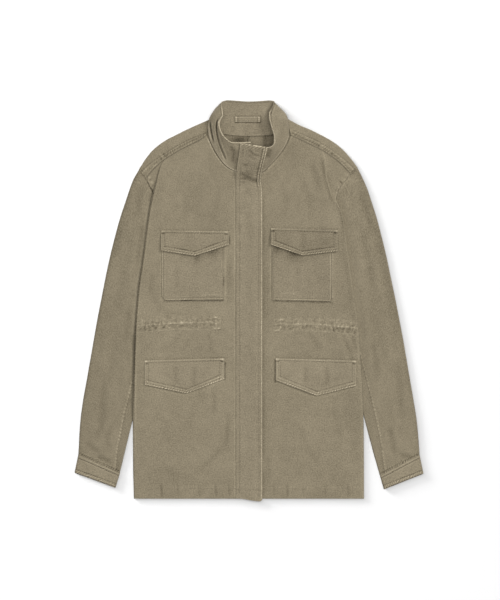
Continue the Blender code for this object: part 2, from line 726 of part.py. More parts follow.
def cloth(name, grids, wall, colour, rough=0.9, metallic=0.0, ring=False, centre=0.0):
    """One piece of cloth: mid-surface grids joined where they meet, then its wall, whose
    middle lies centre millimetres along the surface's own normal."""
    points, faces, index = [], [], {}
    for grid in grids:
        nu, nv = grid.shape[:2]
        place = []
        for p in metres(grid).reshape(-1, 3):
            key = tuple(round(float(c), 7) for c in p)
            if key not in index:
                index[key] = len(points)
                points.append(p)
            place.append(index[key])
        for a, b, c, d in quads(nu, nv, ring):
            a, b, c, d = place[a], place[b], place[c], place[d]
            faces += [t for t in ((c, b, a), (d, c, a)) if len(set(t)) == 3]
    points, corners = np.array(points), np.array(faces)
    area = np.cross(
        points[corners[:, 1]] - points[corners[:, 0]], points[corners[:, 2]] - points[corners[:, 0]]
    )
    normal = np.zeros_like(points)
    for i in range(3):
        np.add.at(normal, corners[:, i], area)
    normal /= np.linalg.norm(normal, axis=1, keepdims=True)
    n = len(points)
    high = points + normal * (centre + wall / 2) / 1000
    low = points + normal * (centre - wall / 2) / 1000
    sides = {(f[i], f[(i + 1) % 3]) for f in faces for i in range(3)}
    rim = [(b, a, n + a, n + b) for a, b in sorted(sides) if (b, a) not in sides]
    faces = faces + [(n + c, n + b, n + a) for a, b, c in faces] + rim
    mesh = bpy.data.meshes.new(name)
    mesh.from_pydata([tuple(p) for p in np.concatenate([high, low])], [], faces)
    mesh.update()
    mesh.shade_smooth()
    mesh.set_sharp_from_angle(angle=math.radians(50))
    obj = bpy.data.objects.new(name, mesh)
    bpy.context.scene.collection.objects.link(obj)
    obj.data.materials.append(material(name, colour, rough, metallic))
    return obj


def bar(name, outline, low, high, colour, rough, metallic):
    """A solid strip: outline is a list of (col, row) pairs left and right, low and high its heights."""
    left, right = np.array(outline[0], float), np.array(outline[1], float)
    n = len(left)
    rings = []
    for k in range(n):
        rings += [
            (*left[k], low[k]), (*right[k], low[k]), (*right[k], high[k]), (*left[k], high[k])
        ]
    points = [tuple(p) for p in metres(np.array(rings))]
    faces = [(3, 2, 1, 0), tuple(4 * (n - 1) + i for i in range(4))]
    for k in range(n - 1):
        a, b = 4 * k, 4 * (k + 1)
        faces += [(a + i, a + (i + 1) % 4, b + (i + 1) % 4, b + i) for i in range(4)]
    mesh = bpy.data.meshes.new(name)
    mesh.from_pydata(points, [], faces)
    mesh.update()
    obj = bpy.data.objects.new(name, mesh)
    bpy.context.scene.collection.objects.link(obj)
    obj.data.materials.append(material(name, colour, rough, metallic))
    return obj


CANVAS = (0.27, 0.235, 0.165)
POCKET_CLOTH = (0.29, 0.25, 0.175)
BRASS = (0.42, 0.35, 0.2)
TAPE_CLOTH = (0.2, 0.17, 0.12)


def ring_places(r_share, inner):
    """Places round a flattened tube: three at each fold, the rest spread over both layers."""
    top = [0.0, r_share, *inner, 1 - r_share]
    return np.array(top + [1.0] + [2 - t for t in reversed(top[1:])])


def build():
    for obj in list(bpy.data.objects):
        bpy.data.objects.remove(obj, do_unlink=True)

    for side in ("r", "l"):
        f, b = FOLD[side], BACK_SIDE[side]
        peak = abs(NECK[side]["col"][0 if side == "r" else -1] - ZIP_EDGE[side])
        peak /= abs(f["fold_col"][0] - ZIP_EDGE[side])
        near = [0.12, 0.2, 0.285, 0.36, 0.43, 0.485] if side == "r" else [0.12, 0.21, 0.3, 0.4, 0.48]
        us = np.array([0, *near, peak, 0.64, 0.74, 0.83, 0.92, 1.0])
        cloth("front_" + side, [front_surface(side, us, f["fold_row"], run=3 if side == "l" else 2)], WALL, CANVAS)

        line = moved_in(ROLL[side], side, ROLL_R + WALL / 2)
        corner = abs(line["col"][0] - BACK_EDGE[side]) / abs(b["col"][0] - BACK_EDGE[side])
        over = np.array([corner, 0.46, 0.56, 0.67, 0.79, 0.9, 1.0])
        us = np.concatenate([[0, 0.12, 0.22, 0.285, 0.335], over])
        rows = np.array([b["row"][0], 190.4, 212, 231, 250, 260, 270, 281, 300, 330, 365, 400, 430, HEM])
        cloth(
            "back_" + side,
            [back_grid(side, us, rows), shoulder_grid(side, over, rows[:1])],
            WALL,
            CANVAS,
        )

        ring = ring_places(0.03, (0.2, 0.4, 0.52, 0.64, 0.76, 0.87))
        vs = np.array([0, 0.04, 0.1, 0.18, 0.27, 0.36, 0.46, 0.56, 0.66, 0.76, 0.86, 0.94, 1])
        cloth("sleeve_" + side, [sleeve_grid(side, ring, vs)], WALL, CANVAS, ring=True)
        cloth(
            "cuff_" + side,
            [cuff_grid(side, ring_places(0.03, (0.3, 0.7)), np.array([0.0, 0.5, 1.0]))],
            CUFF_WALL,
            CANVAS,
            ring=True,
        )

    us = np.arange(57) / 56
    vs = np.array([0, 0.25, 0.5, 0.75, 1.0])
    band = collar_mid(us, vs)
    # the band's own normal points out of the neck
    cloth("collar", [band], WALL, CANVAS, centre=COLLAR_LAYER)
    cloth("collar_facing", [band], WALL, POCKET_CLOTH, centre=-COLLAR_LAYER)

    rows = PLACKET["row"].tolist()
    rows[-1:] = [110.0, 190.0, 270.0, rows[-1]]
    cloth(
        "placket",
        [placket_grid(np.array([0, 0.25, 0.5, 0.67, 0.84, 1.0]), np.array(rows))],
        WALL,
        POCKET_CLOTH,
    )
    for i, side in enumerate(("r", "l")):
        corner = [0, 0.035, 0.08, 0.2, 0.36, 0.52, 0.68, 1.0]
        us = np.array(corner) if i == 0 else 1 - np.array(corner[::-1])
        cloth("chest_pocket_" + side, [pocket_grid(i, us, np.array([0, 0.33, 0.66, 1.0]))], WALL, POCKET_CLOTH)
    for i, name in enumerate(("chest_flap_r", "chest_flap_l", "lower_flap_r", "lower_flap_l")):
        tip = tip_share(i)
        far = [0, 0.1, 0.2, 0.32, tip if i % 2 == 0 else 1 - tip, 0.75, 1]
        us = np.array(far if i % 2 == 0 else [1 - t for t in reversed(far)])
        cloth(name, [flap_grid(i, us, np.array([0, 0.3, 0.65, 1.0]))], WALL, POCKET_CLOTH)

    # hanger loop on the inner collar, its two ends down on the facing
    cols = np.linspace(*LOOP["col"], 7)
    t = (cols - cols[0]) / (cols[-1] - cols[0])
    seat = 1.5 + 0.4 + COLLAR_LAYER + WALL / 2 + SEAM + LOOP["wall"] / 2
    z = seat + LOOP["rise"] * np.sin(math.pi * t) ** 0.7
    half = LOOP["width"] / 2 / MM
    loop = np.stack([np.stack([cols, np.full(7, LOOP["row"] + s * half), z], -1) for s in (-1, 1)], 1)
    cloth("hanger_loop", [loop], LOOP["wall"], POCKET_CLOTH)

    # zip under the wind flap
    rows = np.array([146.5, 152, 158, 163, 167.5, 170.5, 172.7, 175, 181, 200, 260, 320, 380, 430, 478.0])
    half = CHAIN_WIDTH / 2 / MM
    for side in ("r", "l"):
        out = OUT[side]
        near = CHAIN_COL + out * (half + 0.18)
        # under the fronts, and lower yet under the collar's two layers
        under = WALL / 2 + SEAM + TAPE_WALL / 2 + 1.2 * (1 - ease((rows - 174.5) / 7))
        z = zip_z(rows) - under
        tape = np.stack(
            [
                np.stack([np.full(len(rows), near), rows, z], -1),
                np.stack([np.full(len(rows), near + out * TAPE_WIDTH / 2 / MM), rows, z], -1),
            ],
            0,
        )
        cloth("zip_tape_" + side, [tape], TAPE_WALL, TAPE_CLOTH)
    chain_low = zip_z(rows) - CHAIN_HEIGHT / 2
    chain_high = zip_z(rows) + CHAIN_HEIGHT / 2
    s = SLIDER
    s_half = s["length"] / 2 / MM
    # the chain stops short of the slider, which takes its rows
    below = rows > s["row"] + s_half
    chain_rows = np.concatenate([[s["row"] + s_half + 0.25], rows[below]])
    z = zip_z(chain_rows)
    bar(
        "zip_chain",
        (
            [(CHAIN_COL - half, r) for r in chain_rows],
            [(CHAIN_COL + half, r) for r in chain_rows],
        ),
        z - CHAIN_HEIGHT / 2,
        z + CHAIN_HEIGHT / 2,
        BRASS, 0.4, 1.0,
    )
    body_rows = np.array([s["row"] - s_half, s["row"], s["row"] + s_half])
    z = zip_z(body_rows)
    widths = np.array([1.0, 0.9, 0.7]) * s["width"] / 2 / MM
    bar(
        "zip_slider",
        (
            [(CHAIN_COL - w, r) for w, r in zip(widths, body_rows)],
            [(CHAIN_COL + w, r) for w, r in zip(widths, body_rows)],
        ),
        z - 1.2,
        z + 1.6,
        BRASS, 0.4, 1.0,
    )
    pull_rows = np.array([s["row"] - 1.2, s["row"] + 2, s["row"] + 5, s["row"] - 1.2 + PULL["length"] / MM])
    z = zip_z(pull_rows) + np.array([2.1, 2.0, 2.0, 2.6])
    half_pull = PULL["width"] / 2 / MM
    bar(
        "zip_pull",
        (
            [(CHAIN_COL - half_pull, r) for r in pull_rows],
            [(CHAIN_COL + half_pull, r) for r in pull_rows],
        ),
        z - 0.15,
        z - 0.15 + PULL["wall"],
        BRASS, 0.4, 1.0,
    )


build()
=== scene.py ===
"""Looks of the field jacket laid flat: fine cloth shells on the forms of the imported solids,
creases, seams, gathers, stitches and washed canvas, with a plain floor, light and camera.

The driving sizes, tables and shape functions are those of the solids, so every piece stays
where its solid is. Columns run to the wearer's left, rows from the collar to the hem, one
chart square is SQ metres, heights are in millimetres."""

import json
import math

import bpy
import numpy as np
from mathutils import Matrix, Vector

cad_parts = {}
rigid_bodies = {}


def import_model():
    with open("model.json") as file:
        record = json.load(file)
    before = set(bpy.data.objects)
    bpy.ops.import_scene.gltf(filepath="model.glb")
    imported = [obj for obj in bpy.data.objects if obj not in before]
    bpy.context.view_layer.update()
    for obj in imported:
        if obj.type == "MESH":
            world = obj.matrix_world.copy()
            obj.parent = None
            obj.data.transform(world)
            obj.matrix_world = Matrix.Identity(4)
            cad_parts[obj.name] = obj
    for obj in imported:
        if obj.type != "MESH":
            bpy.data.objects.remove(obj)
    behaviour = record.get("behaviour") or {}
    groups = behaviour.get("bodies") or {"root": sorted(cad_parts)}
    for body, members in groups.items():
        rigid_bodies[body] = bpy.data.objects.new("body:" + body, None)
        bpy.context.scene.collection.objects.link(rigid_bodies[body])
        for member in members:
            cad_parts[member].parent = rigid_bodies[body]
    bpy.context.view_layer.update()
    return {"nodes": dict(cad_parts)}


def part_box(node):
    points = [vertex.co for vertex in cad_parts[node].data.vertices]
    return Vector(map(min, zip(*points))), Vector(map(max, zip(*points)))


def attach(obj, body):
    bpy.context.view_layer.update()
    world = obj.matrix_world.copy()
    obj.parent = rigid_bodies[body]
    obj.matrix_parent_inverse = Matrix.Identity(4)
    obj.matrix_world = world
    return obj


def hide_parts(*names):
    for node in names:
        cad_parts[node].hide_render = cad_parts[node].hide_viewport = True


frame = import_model()

# ---------------------------------------------------------------- driving sizes
SQ = 0.0021  # one chart square
COL0, ROW0 = 249.001, 300.763  # chart place of the origin, the middle of the outline
WALL = 1.2  # canvas, one layer
CUFF_WALL = 2.0  # cuff band, canvas doubled
SEAM = 0.3  # clearance of two pieces at a seam
HEM = 498.5  # chart row of the hem edge

LEVEL_BACK = 0.6  # mid-height of the layer that lies on the surface
LEVEL_FRONT = 4.2  # mid-height of the fronts away from the sleeves
LEVEL_TUCK = 2.2  # upper sleeve layer where it lies under the body
LEVEL_RETURN = 4.2  # the fronts' turned-under edge, over the sleeves
LEVEL_SLEEVE = 4.8  # upper sleeve layer in the open
RAISE = 4.2  # how much higher the fronts ride over the sleeves

CHAIN_COL, CHAIN_WIDTH, CHAIN_HEIGHT = 253.5, 5.4, 2.2
TAPE_WIDTH, TAPE_WALL = 15.0, 0.8


def table(names, rows):
    """One array for each named column."""
    return dict(zip(names.split(), np.array(rows, float).T, strict=True))


# Side folds of the fronts (fold), where the turned-under cloth ends at the armhole
# or side seam (end), and how far it has turned: 0 steps down outwards, 1 turns under.
FOLD = {
    "r": table(
        "fold_row fold_col end_col end_row turn",
        [
            (160.0, 164.0, 146.9, 178.1, 0.0),
            (167.0, 160.0, 147.7, 180.6, 0.0),
            (176.0, 157.2, 149.1, 184.4, 0.0),
            (182.0, 155.8, 151.1, 187.5, 0.25),
            (187.0, 154.6, 153.6, 190.2, 0.5),
            (192.0, 153.3, 155.2, 194.0, 0.75),
            (198.0, 151.8, 156.4, 199.5, 1.0),
            (210.0, 149.3, 157.8, 210.5, 1.0),
            (230.0, 146.4, 160.3, 231.0, 1.0),
            (250.0, 143.9, 162.3, 251.5, 1.0),
            (268.0, 141.3, 163.5, 269.0, 1.0),
            (280.0, 139.4, 158.5, 281.0, 1.0),
            (300.0, 137.2, 149.5, 300.0, 1.0),
            (330.0, 134.9, 140.2, 330.0, 1.0),
            (365.0, 133.7, 138.4, 365.0, 1.0),
            (400.0, 133.2, 136.9, 400.0, 1.0),
            (415.0, 133.1, 136.4, 415.0, 1.0),
            (430.0, 133.2, 136.2, 430.0, 1.0),
            (465.0, 133.4, 136.5, 465.0, 1.0),
            (HEM, 134.2, 137.4, HEM, 1.0),
        ],
    ),
    "l": table(
        "fold_row fold_col end_col end_row turn",
        [
            (150.8, 322.5, 350.2, 174.3, 0.0),
            (162.3, 325.6, 346.7, 178.6, 0.0),
            (176.0, 327.0, 342.7, 183.0, 0.0),
            (185.0, 329.3, 339.5, 187.4, 0.0),
            (191.0, 331.2, 337.7, 191.5, 0.1),
            (196.0, 332.9, 336.3, 196.3, 0.3),
            (201.0, 335.0, 335.2, 201.5, 0.5),
            (206.0, 338.0, 334.6, 206.5, 0.75),
            (212.0, 341.3, 334.1, 213.0, 1.0),
            (230.0, 344.4, 333.6, 232.0, 1.0),
            (250.0, 347.0, 333.5, 251.0, 1.0),
            (268.0, 349.7, 334.0, 269.0, 1.0),
            (280.0, 351.4, 339.0, 281.0, 1.0),
            (300.0, 354.0, 347.5, 300.0, 1.0),
            (330.0, 358.1, 354.4, 330.0, 1.0),
            (365.0, 360.5, 357.3, 365.0, 1.0),
            (400.0, 362.5, 359.4, 400.0, 1.0),
            (415.0, 363.1, 360.0, 415.0, 1.0),
            (430.0, 363.4, 360.3, 430.0, 1.0),
            (465.0, 363.6, 360.5, 465.0, 1.0),
            (HEM, 363.7, 360.6, HEM, 1.0),
        ],
    ),
}
# How much of RAISE the fronts have at the fold, row by row.
LIFT = {
    "r": table(
        "row share",
        [(150, 0), (160, 0.06), (170, 0.5), (182, 0.8), (200, 1), (395, 1), (432, 0)],
    ),
    "l": table(
        "row share",
        [(146, 0), (152, 0.04), (166, 0.4), (182, 0.65), (200, 0.9), (212, 1), (395, 1), (432, 0)],
    ),
}
# Inner edge of the sleeve: hidden under the body above row 421, free below it.
INNER = {
    "r": table(
        "row col",
        [(189, 153), (203, 156), (232, 160.3), (252, 162.3), (269, 163.6), (282, 162.6),
         (300, 160), (320, 156), (350, 150), (383, 142), (421, 132.4), (450, 125.4), (472.3, 120.0)],
    ),
    "l": table(
        "row col",
        [(189, 338), (203, 335.4), (232, 333.7), (252, 333.6), (269, 334.0), (282, 335.3),
         (300, 338), (320, 342), (350, 348), (383, 355.8), (421, 365.0), (450, 372.6), (474.8, 379.6)],
    ),
}
# Seams of the fronts: the neck seam from the zip edge to the shoulder, then the
# forward shoulder seam out to the armhole.
NECK = {
    "r": table(
        "col row",
        [(206.4, 134.9), (208.9, 140.6), (214.0, 151.4), (219.9, 160.4), (226.2, 167.1),
         (234.0, 171.2), (241.0, 172.9), (250.9, 173.5)],
    ),
    "l": table(
        "col row",
        [(256.1, 173.5), (263.9, 172.3), (269.4, 166.7), (275.6, 160.6), (282.3, 152.5),
         (287.7, 143.7), (291.2, 135.5)],
    ),
}
SHOULDER = {
    "r": table(
        "col row",
        [(146.9, 178.1), (148.6, 175.4), (156.0, 166.9), (164.0, 160.0), (170.0, 156.1),
         (177.3, 151.6), (186.7, 146.5), (200.0, 140.0), (206.4, 134.9)],
    ),
    "l": table(
        "col row",
        [(291.2, 135.5), (305.0, 142.3), (322.5, 150.8), (329.3, 155.2), (338.7, 162.1),
         (346.2, 169.6), (350.2, 174.3)],
    ),
}
# Line over which the back rolls to the front, from the neck to the shoulder tip.
ROLL = {
    "r": table(
        "col row",
        [(209.4, 119.6), (204.0, 121.9), (197.0, 125.0), (186.0, 130.0), (176.0, 135.0),
         (166.4, 140.0), (159.0, 145.0), (153.1, 150.0), (144.9, 160.0), (139.0, 169.3)],
    ),
    "l": table(
        "col row",
        [(287.4, 118.9), (293.0, 122.0), (299.0, 125.0), (311.0, 130.0), (321.0, 135.0),
         (330.2, 140.0), (337.5, 145.0), (343.0, 150.0), (351.8, 160.0), (357.2, 167.3)],
    ),
}
BACK_NECK = {
    "r": table(
        "col row",
        [(209.3, 121.4), (212.6, 129.0), (218.0, 133.2), (225.0, 135.0), (235.0, 136.4), (248.75, 136.9)],
    ),
    "l": table(
        "col row",
        [(249.05, 136.9), (262.0, 136.4), (273.0, 134.9), (280.0, 133.0), (286.1, 128.3), (288.3, 120.8)],
    ),
}
# The back's own armhole and side seam, from the shoulder tip to the hem.
BACK_SIDE = {
    "r": table(
        "row col",
        [(170.3, 140.8), (179, 146.7), (190.4, 151.8), (200, 155.6), (212, 158.7), (231, 161.4),
         (250, 163.4), (270, 164.7), (281, 159.6), (300, 150.2), (330, 140.9), (365, 139.0),
         (400, 137.5), (430, 136.8), (465, 137.1), (HEM, 138.0)],
    ),
    "l": table(
        "row col",
        [(168.3, 355.3), (179, 347.2), (190.4, 339.6), (200, 336.0), (212, 333.4), (231, 332.6),
         (250, 332.4), (270, 332.9), (281, 338.0), (300, 346.8), (330, 353.7), (365, 356.7),
         (400, 358.8), (430, 359.7), (465, 359.9), (HEM, 360.0)],
    ),
}
# Sleeves: outer edge from the shoulder tip down to the cuff seam, and the armhole
# edge of the upper layer from the shoulder tip to the underarm point.
OUTER = {
    "r": table(
        "col row",
        [(138.8, 170.2), (133.3, 180), (129.5, 190), (126.2, 200), (119.6, 220), (114.2, 240),
         (109.3, 260), (105.1, 280), (101.2, 300), (97.3, 320), (93.8, 340), (90.3, 360),
         (86.8, 380), (83.2, 400), (80.5, 420), (79.4, 435), (78.9, 446), (78.4, 454.0)],
    ),
    "l": table(
        "col row",
        [(357.6, 168.3), (363.4, 180), (367.6, 190), (370.9, 200), (377.2, 220), (382.4, 240),
         (387.1, 260), (391.3, 280), (395.5, 300), (399.4, 320), (403.2, 340), (406.6, 360),
         (410.0, 380), (413.4, 400), (416.6, 420), (418.1, 435), (418.9, 446), (419.5, 454.0)],
    ),
}
CAP = {
    "r": table(
        "col row",
        [(138.8, 170.2), (142.8, 175.0), (145.9, 179.1), (147.8, 184.6), (151.2, 190.9),
         (154.6, 199.0), (157.6, 212), (160.3, 232), (162.3, 252), (163.6, 269)],
    ),
    "l": table(
        "col row",
        [(357.6, 168.3), (354.2, 171.9), (351.2, 175.2), (347.6, 179.9), (340.6, 188.0),
         (337.2, 195.6), (335.4, 206), (334.0, 218), (333.6, 245), (334.0, 269)],
    ),
}
CUFF = {
    "r": table("col row", [(78.3, 454.9), (120.0, 473.2), (115.6, 487.4), (74.6, 472.7)]),
    "l": table("col row", [(419.6, 454.9), (379.9, 475.7), (383.7, 489.0), (423.4, 473.6)]),
}
# Collar stations from the right front end round the back to the left front end:
# neck edge n, top edge e and how far the band bows out at mid-height b.
COLLAR = table(
    "n_col n_row n_z e_col e_row e_z b_col b_row b_z",
    [
        (250.4, 172.6, 4.2, 250.5, 142.2, 22.0, 0.0, 0.0, 2.0),
        (241.0, 172.0, 4.2, 240.0, 142.8, 23.0, -0.4, 0.3, 1.0),
        (234.3, 170.3, 4.2, 233.0, 142.8, 24.5, -0.5, 0.4, 0.0),
        (227.0, 166.0, 4.2, 226.3, 139.1, 27.0, -0.8, 0.4, -1.5),
        (221.0, 159.2, 4.3, 221.7, 133.2, 28.5, -1.0, 0.4, -2.0),
        (215.4, 150.3, 4.4, 219.6, 128.0, 29.5, -1.2, 0.2, -2.0),
        (210.6, 140.0, 4.6, 219.2, 123.5, 30.0, -1.6, 0.0, -1.0),
        (209.0, 133.0, 4.8, 221.0, 119.0, 30.0, -2.4, -0.5, 0.5),
        (209.4, 126.6, 4.2, 222.8, 115.5, 28.0, -4.2, -1.5, 3.0),
        (211.4, 126.4, 2.6, 222.4, 110.5, 23.0, -5.8, -2.0, 4.0),
        (214.8, 130.0, 1.7, 221.6, 104.8, 13.5, -6.2, -1.6, 1.5),
        (219.2, 132.7, 1.5, 223.6, 101.6, 6.0, -3.0, -1.0, 0.2),
        (225.0, 134.2, 1.5, 228.2, 100.5, 3.0, -0.5, 0.0, 0.0),
        (235.0, 135.5, 1.5, 236.5, 101.0, 2.2, 0.0, 0.0, 0.0),
        (248.9, 136.0, 1.5, 249.0, 101.7, 2.0, 0.0, 0.0, 0.0),
        (262.0, 135.6, 1.5, 261.0, 101.2, 2.2, 0.0, 0.0, 0.0),
        (273.0, 134.0, 1.5, 269.6, 100.6, 3.0, 0.5, 0.0, 0.0),
        (279.4, 131.8, 1.5, 273.4, 101.8, 6.0, 3.0, -1.0, 0.2),
        (284.0, 127.8, 1.7, 273.3, 104.8, 13.5, 6.2, -1.6, 1.5),
        (286.4, 124.6, 2.6, 270.9, 109.8, 22.5, 6.4, -2.0, 4.0),
        (287.4, 125.4, 4.2, 269.2, 114.4, 27.5, 5.6, -1.5, 3.8),
        (288.4, 129.8, 4.8, 269.4, 119.3, 29.5, 3.8, -0.5, 1.6),
        (288.2, 135.6, 4.6, 270.8, 124.8, 29.5, 2.4, 0.0, -0.4),
        (285.8, 143.0, 4.4, 272.8, 131.0, 29.0, 1.4, 0.3, -2.0),
        (280.5, 151.5, 4.3, 274.3, 136.8, 28.0, 1.0, 0.4, -2.0),
        (274.2, 159.4, 4.2, 274.5, 142.3, 27.0, 0.8, 0.4, -1.5),
        (268.0, 165.8, 4.2, 272.0, 146.2, 25.5, 0.6, 0.4, 0.0),
        (262.8, 170.8, 4.2, 267.0, 147.6, 24.0, 0.8, 0.5, 3.0),
        (256.6, 172.6, 4.2, 257.2, 146.4, 22.0, 0.0, 0.0, 2.0),
    ],
)
COLLAR_LAYER = 0.85  # each layer's mid-surface from the band's middle
# Wind flap: stitched edge, free edge and height along the zip.
PLACKET = table(
    "row edge free height",
    [
        (0.0, 240.5, 265.0, 26.4),
        (8.5, 239.4, 263.2, 23.6),
        (16.5, 238.3, 261.2, 19.2),
        (24.0, 237.2, 259.9, 14.4),
        (31.0, 236.5, 259.8, 10.2),
        (38.0, 236.1, 261.5, 7.4),
        (46.0, 236.0, 262.3, 6.2),
        (70.0, 236.0, 262.3, 6.0),
        (355.0, 236.0, 262.2, 6.0),
    ],
)
PLACKET_TOP, PLACKET_TILT = 143.4, 0.17  # row of its top edge, fall per column
# Pocket pieces by corner, seen from above, from the top corner nearest the sleeve.
POCKETS = table(
    "low_col low_top low_bottom high_col high_top high_bottom",
    [(162.2, 238.5, 300.8, 224.2, 238.5, 300.2), (271.9, 238.5, 300.4, 333.2, 238.5, 301.8)],
)
FLAPS = table(
    "low_col low_top low_bottom tip_col tip_row high_col high_top high_bottom rise",
    [
        (161.2, 230.5, 250.6, 194.8, 255.7, 229.0, 231.4, 244.7, 3.0),
        (270.7, 228.2, 244.7, 302.5, 255.4, 337.6, 230.2, 251.2, 3.0),
        (144.7, 360.6, 384.6, 186.4, 393.2, 224.4, 358.4, 379.0, 1.5),
        (275.7, 358.4, 380.2, 316.9, 395.6, 355.9, 360.6, 385.8, 1.5),
    ],
)
LOOP = dict(col=(235.2, 260.0), row=119.3, width=9.5, wall=1.0, rise=1.6)
SLIDER = dict(row=156.0, length=11.0, width=8.4, height=4.4)
PULL = dict(length=20.0, width=5.6, wall=1.0)

OUT = {"r": -1.0, "l": 1.0}  # column direction away from the middle
ZIP_EDGE = {"r": 250.9, "l": 256.1}
BACK_EDGE = {"r": 248.75, "l": 249.05}
MM = SQ * 1000  # millimetres in a square


# ---------------------------------------------------------------- smooth tables
def smooth(x, xs, ys):
    """Monotone cubic through the points (xs, ys), flat outside them."""
    xs, ys = np.asarray(xs, float), np.asarray(ys, float)
    if xs[0] > xs[-1]:
        xs, ys = xs[::-1], ys[::-1]
    h = np.diff(xs)
    d = np.diff(ys) / h
    m = np.empty_like(ys)
    m[0], m[-1] = d[0], d[-1]
    both = d[:-1] * d[1:]
    m[1:-1] = np.where(both > 0, 2 * both / np.where(both > 0, d[:-1] + d[1:], 1), 0)
    x = np.clip(x, xs[0], xs[-1])
    i = np.clip(np.searchsorted(xs, x, side="right") - 1, 0, len(h) - 1)
    t = (x - xs[i]) / h[i]
    return (
        ys[i] * (1 + 2 * t) * (1 - t) ** 2
        + h[i] * m[i] * t * (1 - t) ** 2
        + ys[i + 1] * t * t * (3 - 2 * t)
        + h[i] * m[i + 1] * t * t * (t - 1)
    )


def ease(t):
    t = np.clip(t, 0, 1)
    return t * t * (3 - 2 * t)


def along(curve, t):
    """(col, row) at share t of the length of a curve table."""
    col, row = curve["col"], curve["row"]
    s = np.concatenate([[0], np.cumsum(np.hypot(np.diff(col), np.diff(row)))])
    s /= s[-1]
    return smooth(t, s, col), smooth(t, s, row)


def moved_in(curve, side, by):
    """A shoulder roll line moved into the garment by a distance in millimetres."""
    col, row = curve["col"], curve["row"]
    dc, dr = np.gradient(col), np.gradient(row)
    length = np.hypot(dc, dr)
    return {
        "col": col + OUT[side] * -1 * dr / length * by / MM,
        "row": row + np.abs(dc) / length * by / MM,
    }


# ---------------------------------------------------------------- cloth heights
def fold_col(side, row):
    f = FOLD[side]
    return smooth(row, f["fold_row"], f["fold_col"])


def inward(side, col, row):
    """Columns from the side fold towards the middle."""
    return (fold_col(side, row) - col) * OUT[side]


def tuck_width(side, row):
    t = INNER[side]
    return np.maximum(inward(side, smooth(row, t["row"], t["col"]), row), 0)


def return_level(row):
    return LEVEL_BACK + (LEVEL_RETURN - LEVEL_BACK) * (1 - ease((row - 400) / 30))


def front_z(side, col, row):
    share = smooth(row, LIFT[side]["row"], LIFT[side]["share"])
    reach = tuck_width(side, row) + 2
    return LEVEL_FRONT + RAISE * share * (1 - ease((inward(side, col, row) - reach) / 20))


def back_z(side, col, row):
    share = ease((row - 246) / 22) * (1 - ease((row - 400) / 30))
    reach = tuck_width(side, row) + 3
    rise = LEVEL_RETURN - LEVEL_BACK
    return LEVEL_BACK + rise * share * (1 - ease((inward(side, col, row) - reach) / 9))


def sleeve_z(side, col, row):
    outside = -inward(side, col, row)
    return LEVEL_TUCK + (LEVEL_SLEEVE - LEVEL_TUCK) * ease((outside - 1) / 9)


def zip_z(row):
    """Middle of the fronts and of the collar ends along the zip."""
    v = np.clip((172.6 - row) / 30.4, 0, 1)
    return LEVEL_FRONT + 17.8 * v + 8 * v * (1 - v)


# ---------------------------------------------------------------- front panels
def seam_row(side, col):
    """Row of the front's top edge: neck seam, then shoulder seam."""
    neck, shoulder = NECK[side], SHOULDER[side]
    on_neck = (col - (neck["col"][0] if side == "r" else neck["col"][-1])) * OUT[side] < 0
    return np.where(
        on_neck,
        smooth(col, neck["col"], neck["row"]),
        smooth(col, shoulder["col"], shoulder["row"]),
    )


def roll_radius(side, row):
    top = LEVEL_FRONT + RAISE * smooth(row, LIFT[side]["row"], LIFT[side]["share"])
    return (top - return_level(row)) / 2


def front_grid(side, us, rows):
    """Upper layer: us from the zip edge (0) to the side fold (1), rows at the fold."""
    f = FOLD[side]
    u, fold_row = np.meshgrid(us, rows, indexing="ij")
    first = f["fold_row"][0]
    v = (fold_row - first) / (HEM - first)
    inset = roll_radius(side, fold_row) / MM
    edge = fold_col(side, fold_row) - OUT[side] * inset
    zip_edge = ZIP_EDGE[side]
    col = zip_edge + u * (edge - zip_edge)
    top_edge = f["fold_col"][0] - OUT[side] * inset[0, 0]
    top = seam_row(side, zip_edge + u * (top_edge - zip_edge))
    row = top + v * (HEM - top)
    z = front_z(side, col, row)
    return np.stack([col, row, z], -1)


def turned_grid(side, rows, arc=4, run=3, soft=None):
    """The cloth past the side fold: over the roll, then on to the armhole or side seam."""
    f = FOLD[side]
    fold_row = np.asarray(rows, float)
    turn = smooth(fold_row, f["fold_row"], f["turn"])
    end_col = smooth(fold_row, f["fold_row"], f["end_col"])
    end_row = smooth(fold_row, f["fold_row"], f["end_row"])
    r = roll_radius(side, fold_row)
    low = return_level(fold_row)
    step = {"r": 1.4, "l": 7.0}[side]  # width of the step down near the shoulder
    out = OUT[side]
    fold = fold_col(side, fold_row)
    shoulder = SHOULDER[side]
    # The first row follows the shoulder seam out to the armhole.
    sag_share = 1 - ease((fold_row - fold_row[0]) / 22)
    columns = []
    for k in range(1, arc + 1):
        t = k / arc
        under = (-r + r * math.sin(math.pi * t), low + r + r * math.cos(math.pi * t))
        down = (-r + (r + step) * t, low + 2 * r * (1 - ease(t)))
        reach = (1 - turn) * down[0] + turn * under[0]
        z = (1 - turn) * down[1] + turn * under[1]
        col = fold + out * reach / MM
        drop = smooth(col[0], shoulder["col"], shoulder["row"]) - fold_row[0]
        columns.append((col, fold_row + drop * sag_share, z))
    last = columns[-1]
    dip = 0.8 * 4 * turn * (1 - turn)
    for k in range(1, run + 1):
        t = k / run
        col = last[0] + (end_col - last[0]) * t
        row = last[1] + (end_row - last[1]) * t
        top_col = last[0][0] + (end_col[0] - last[0][0]) * t
        chord = last[1][0] + (end_row[0] - last[1][0]) * t
        sag = smooth(top_col, shoulder["col"], shoulder["row"]) - chord
        columns.append((col, row + sag * sag_share, low - dip * t))
    return np.stack([np.stack(c, -1) for c in columns], 0)


def front_surface(side, us, rows, arc=4, run=3):
    return np.concatenate(
        [front_grid(side, us, rows), turned_grid(side, rows, arc, run)], 0
    )


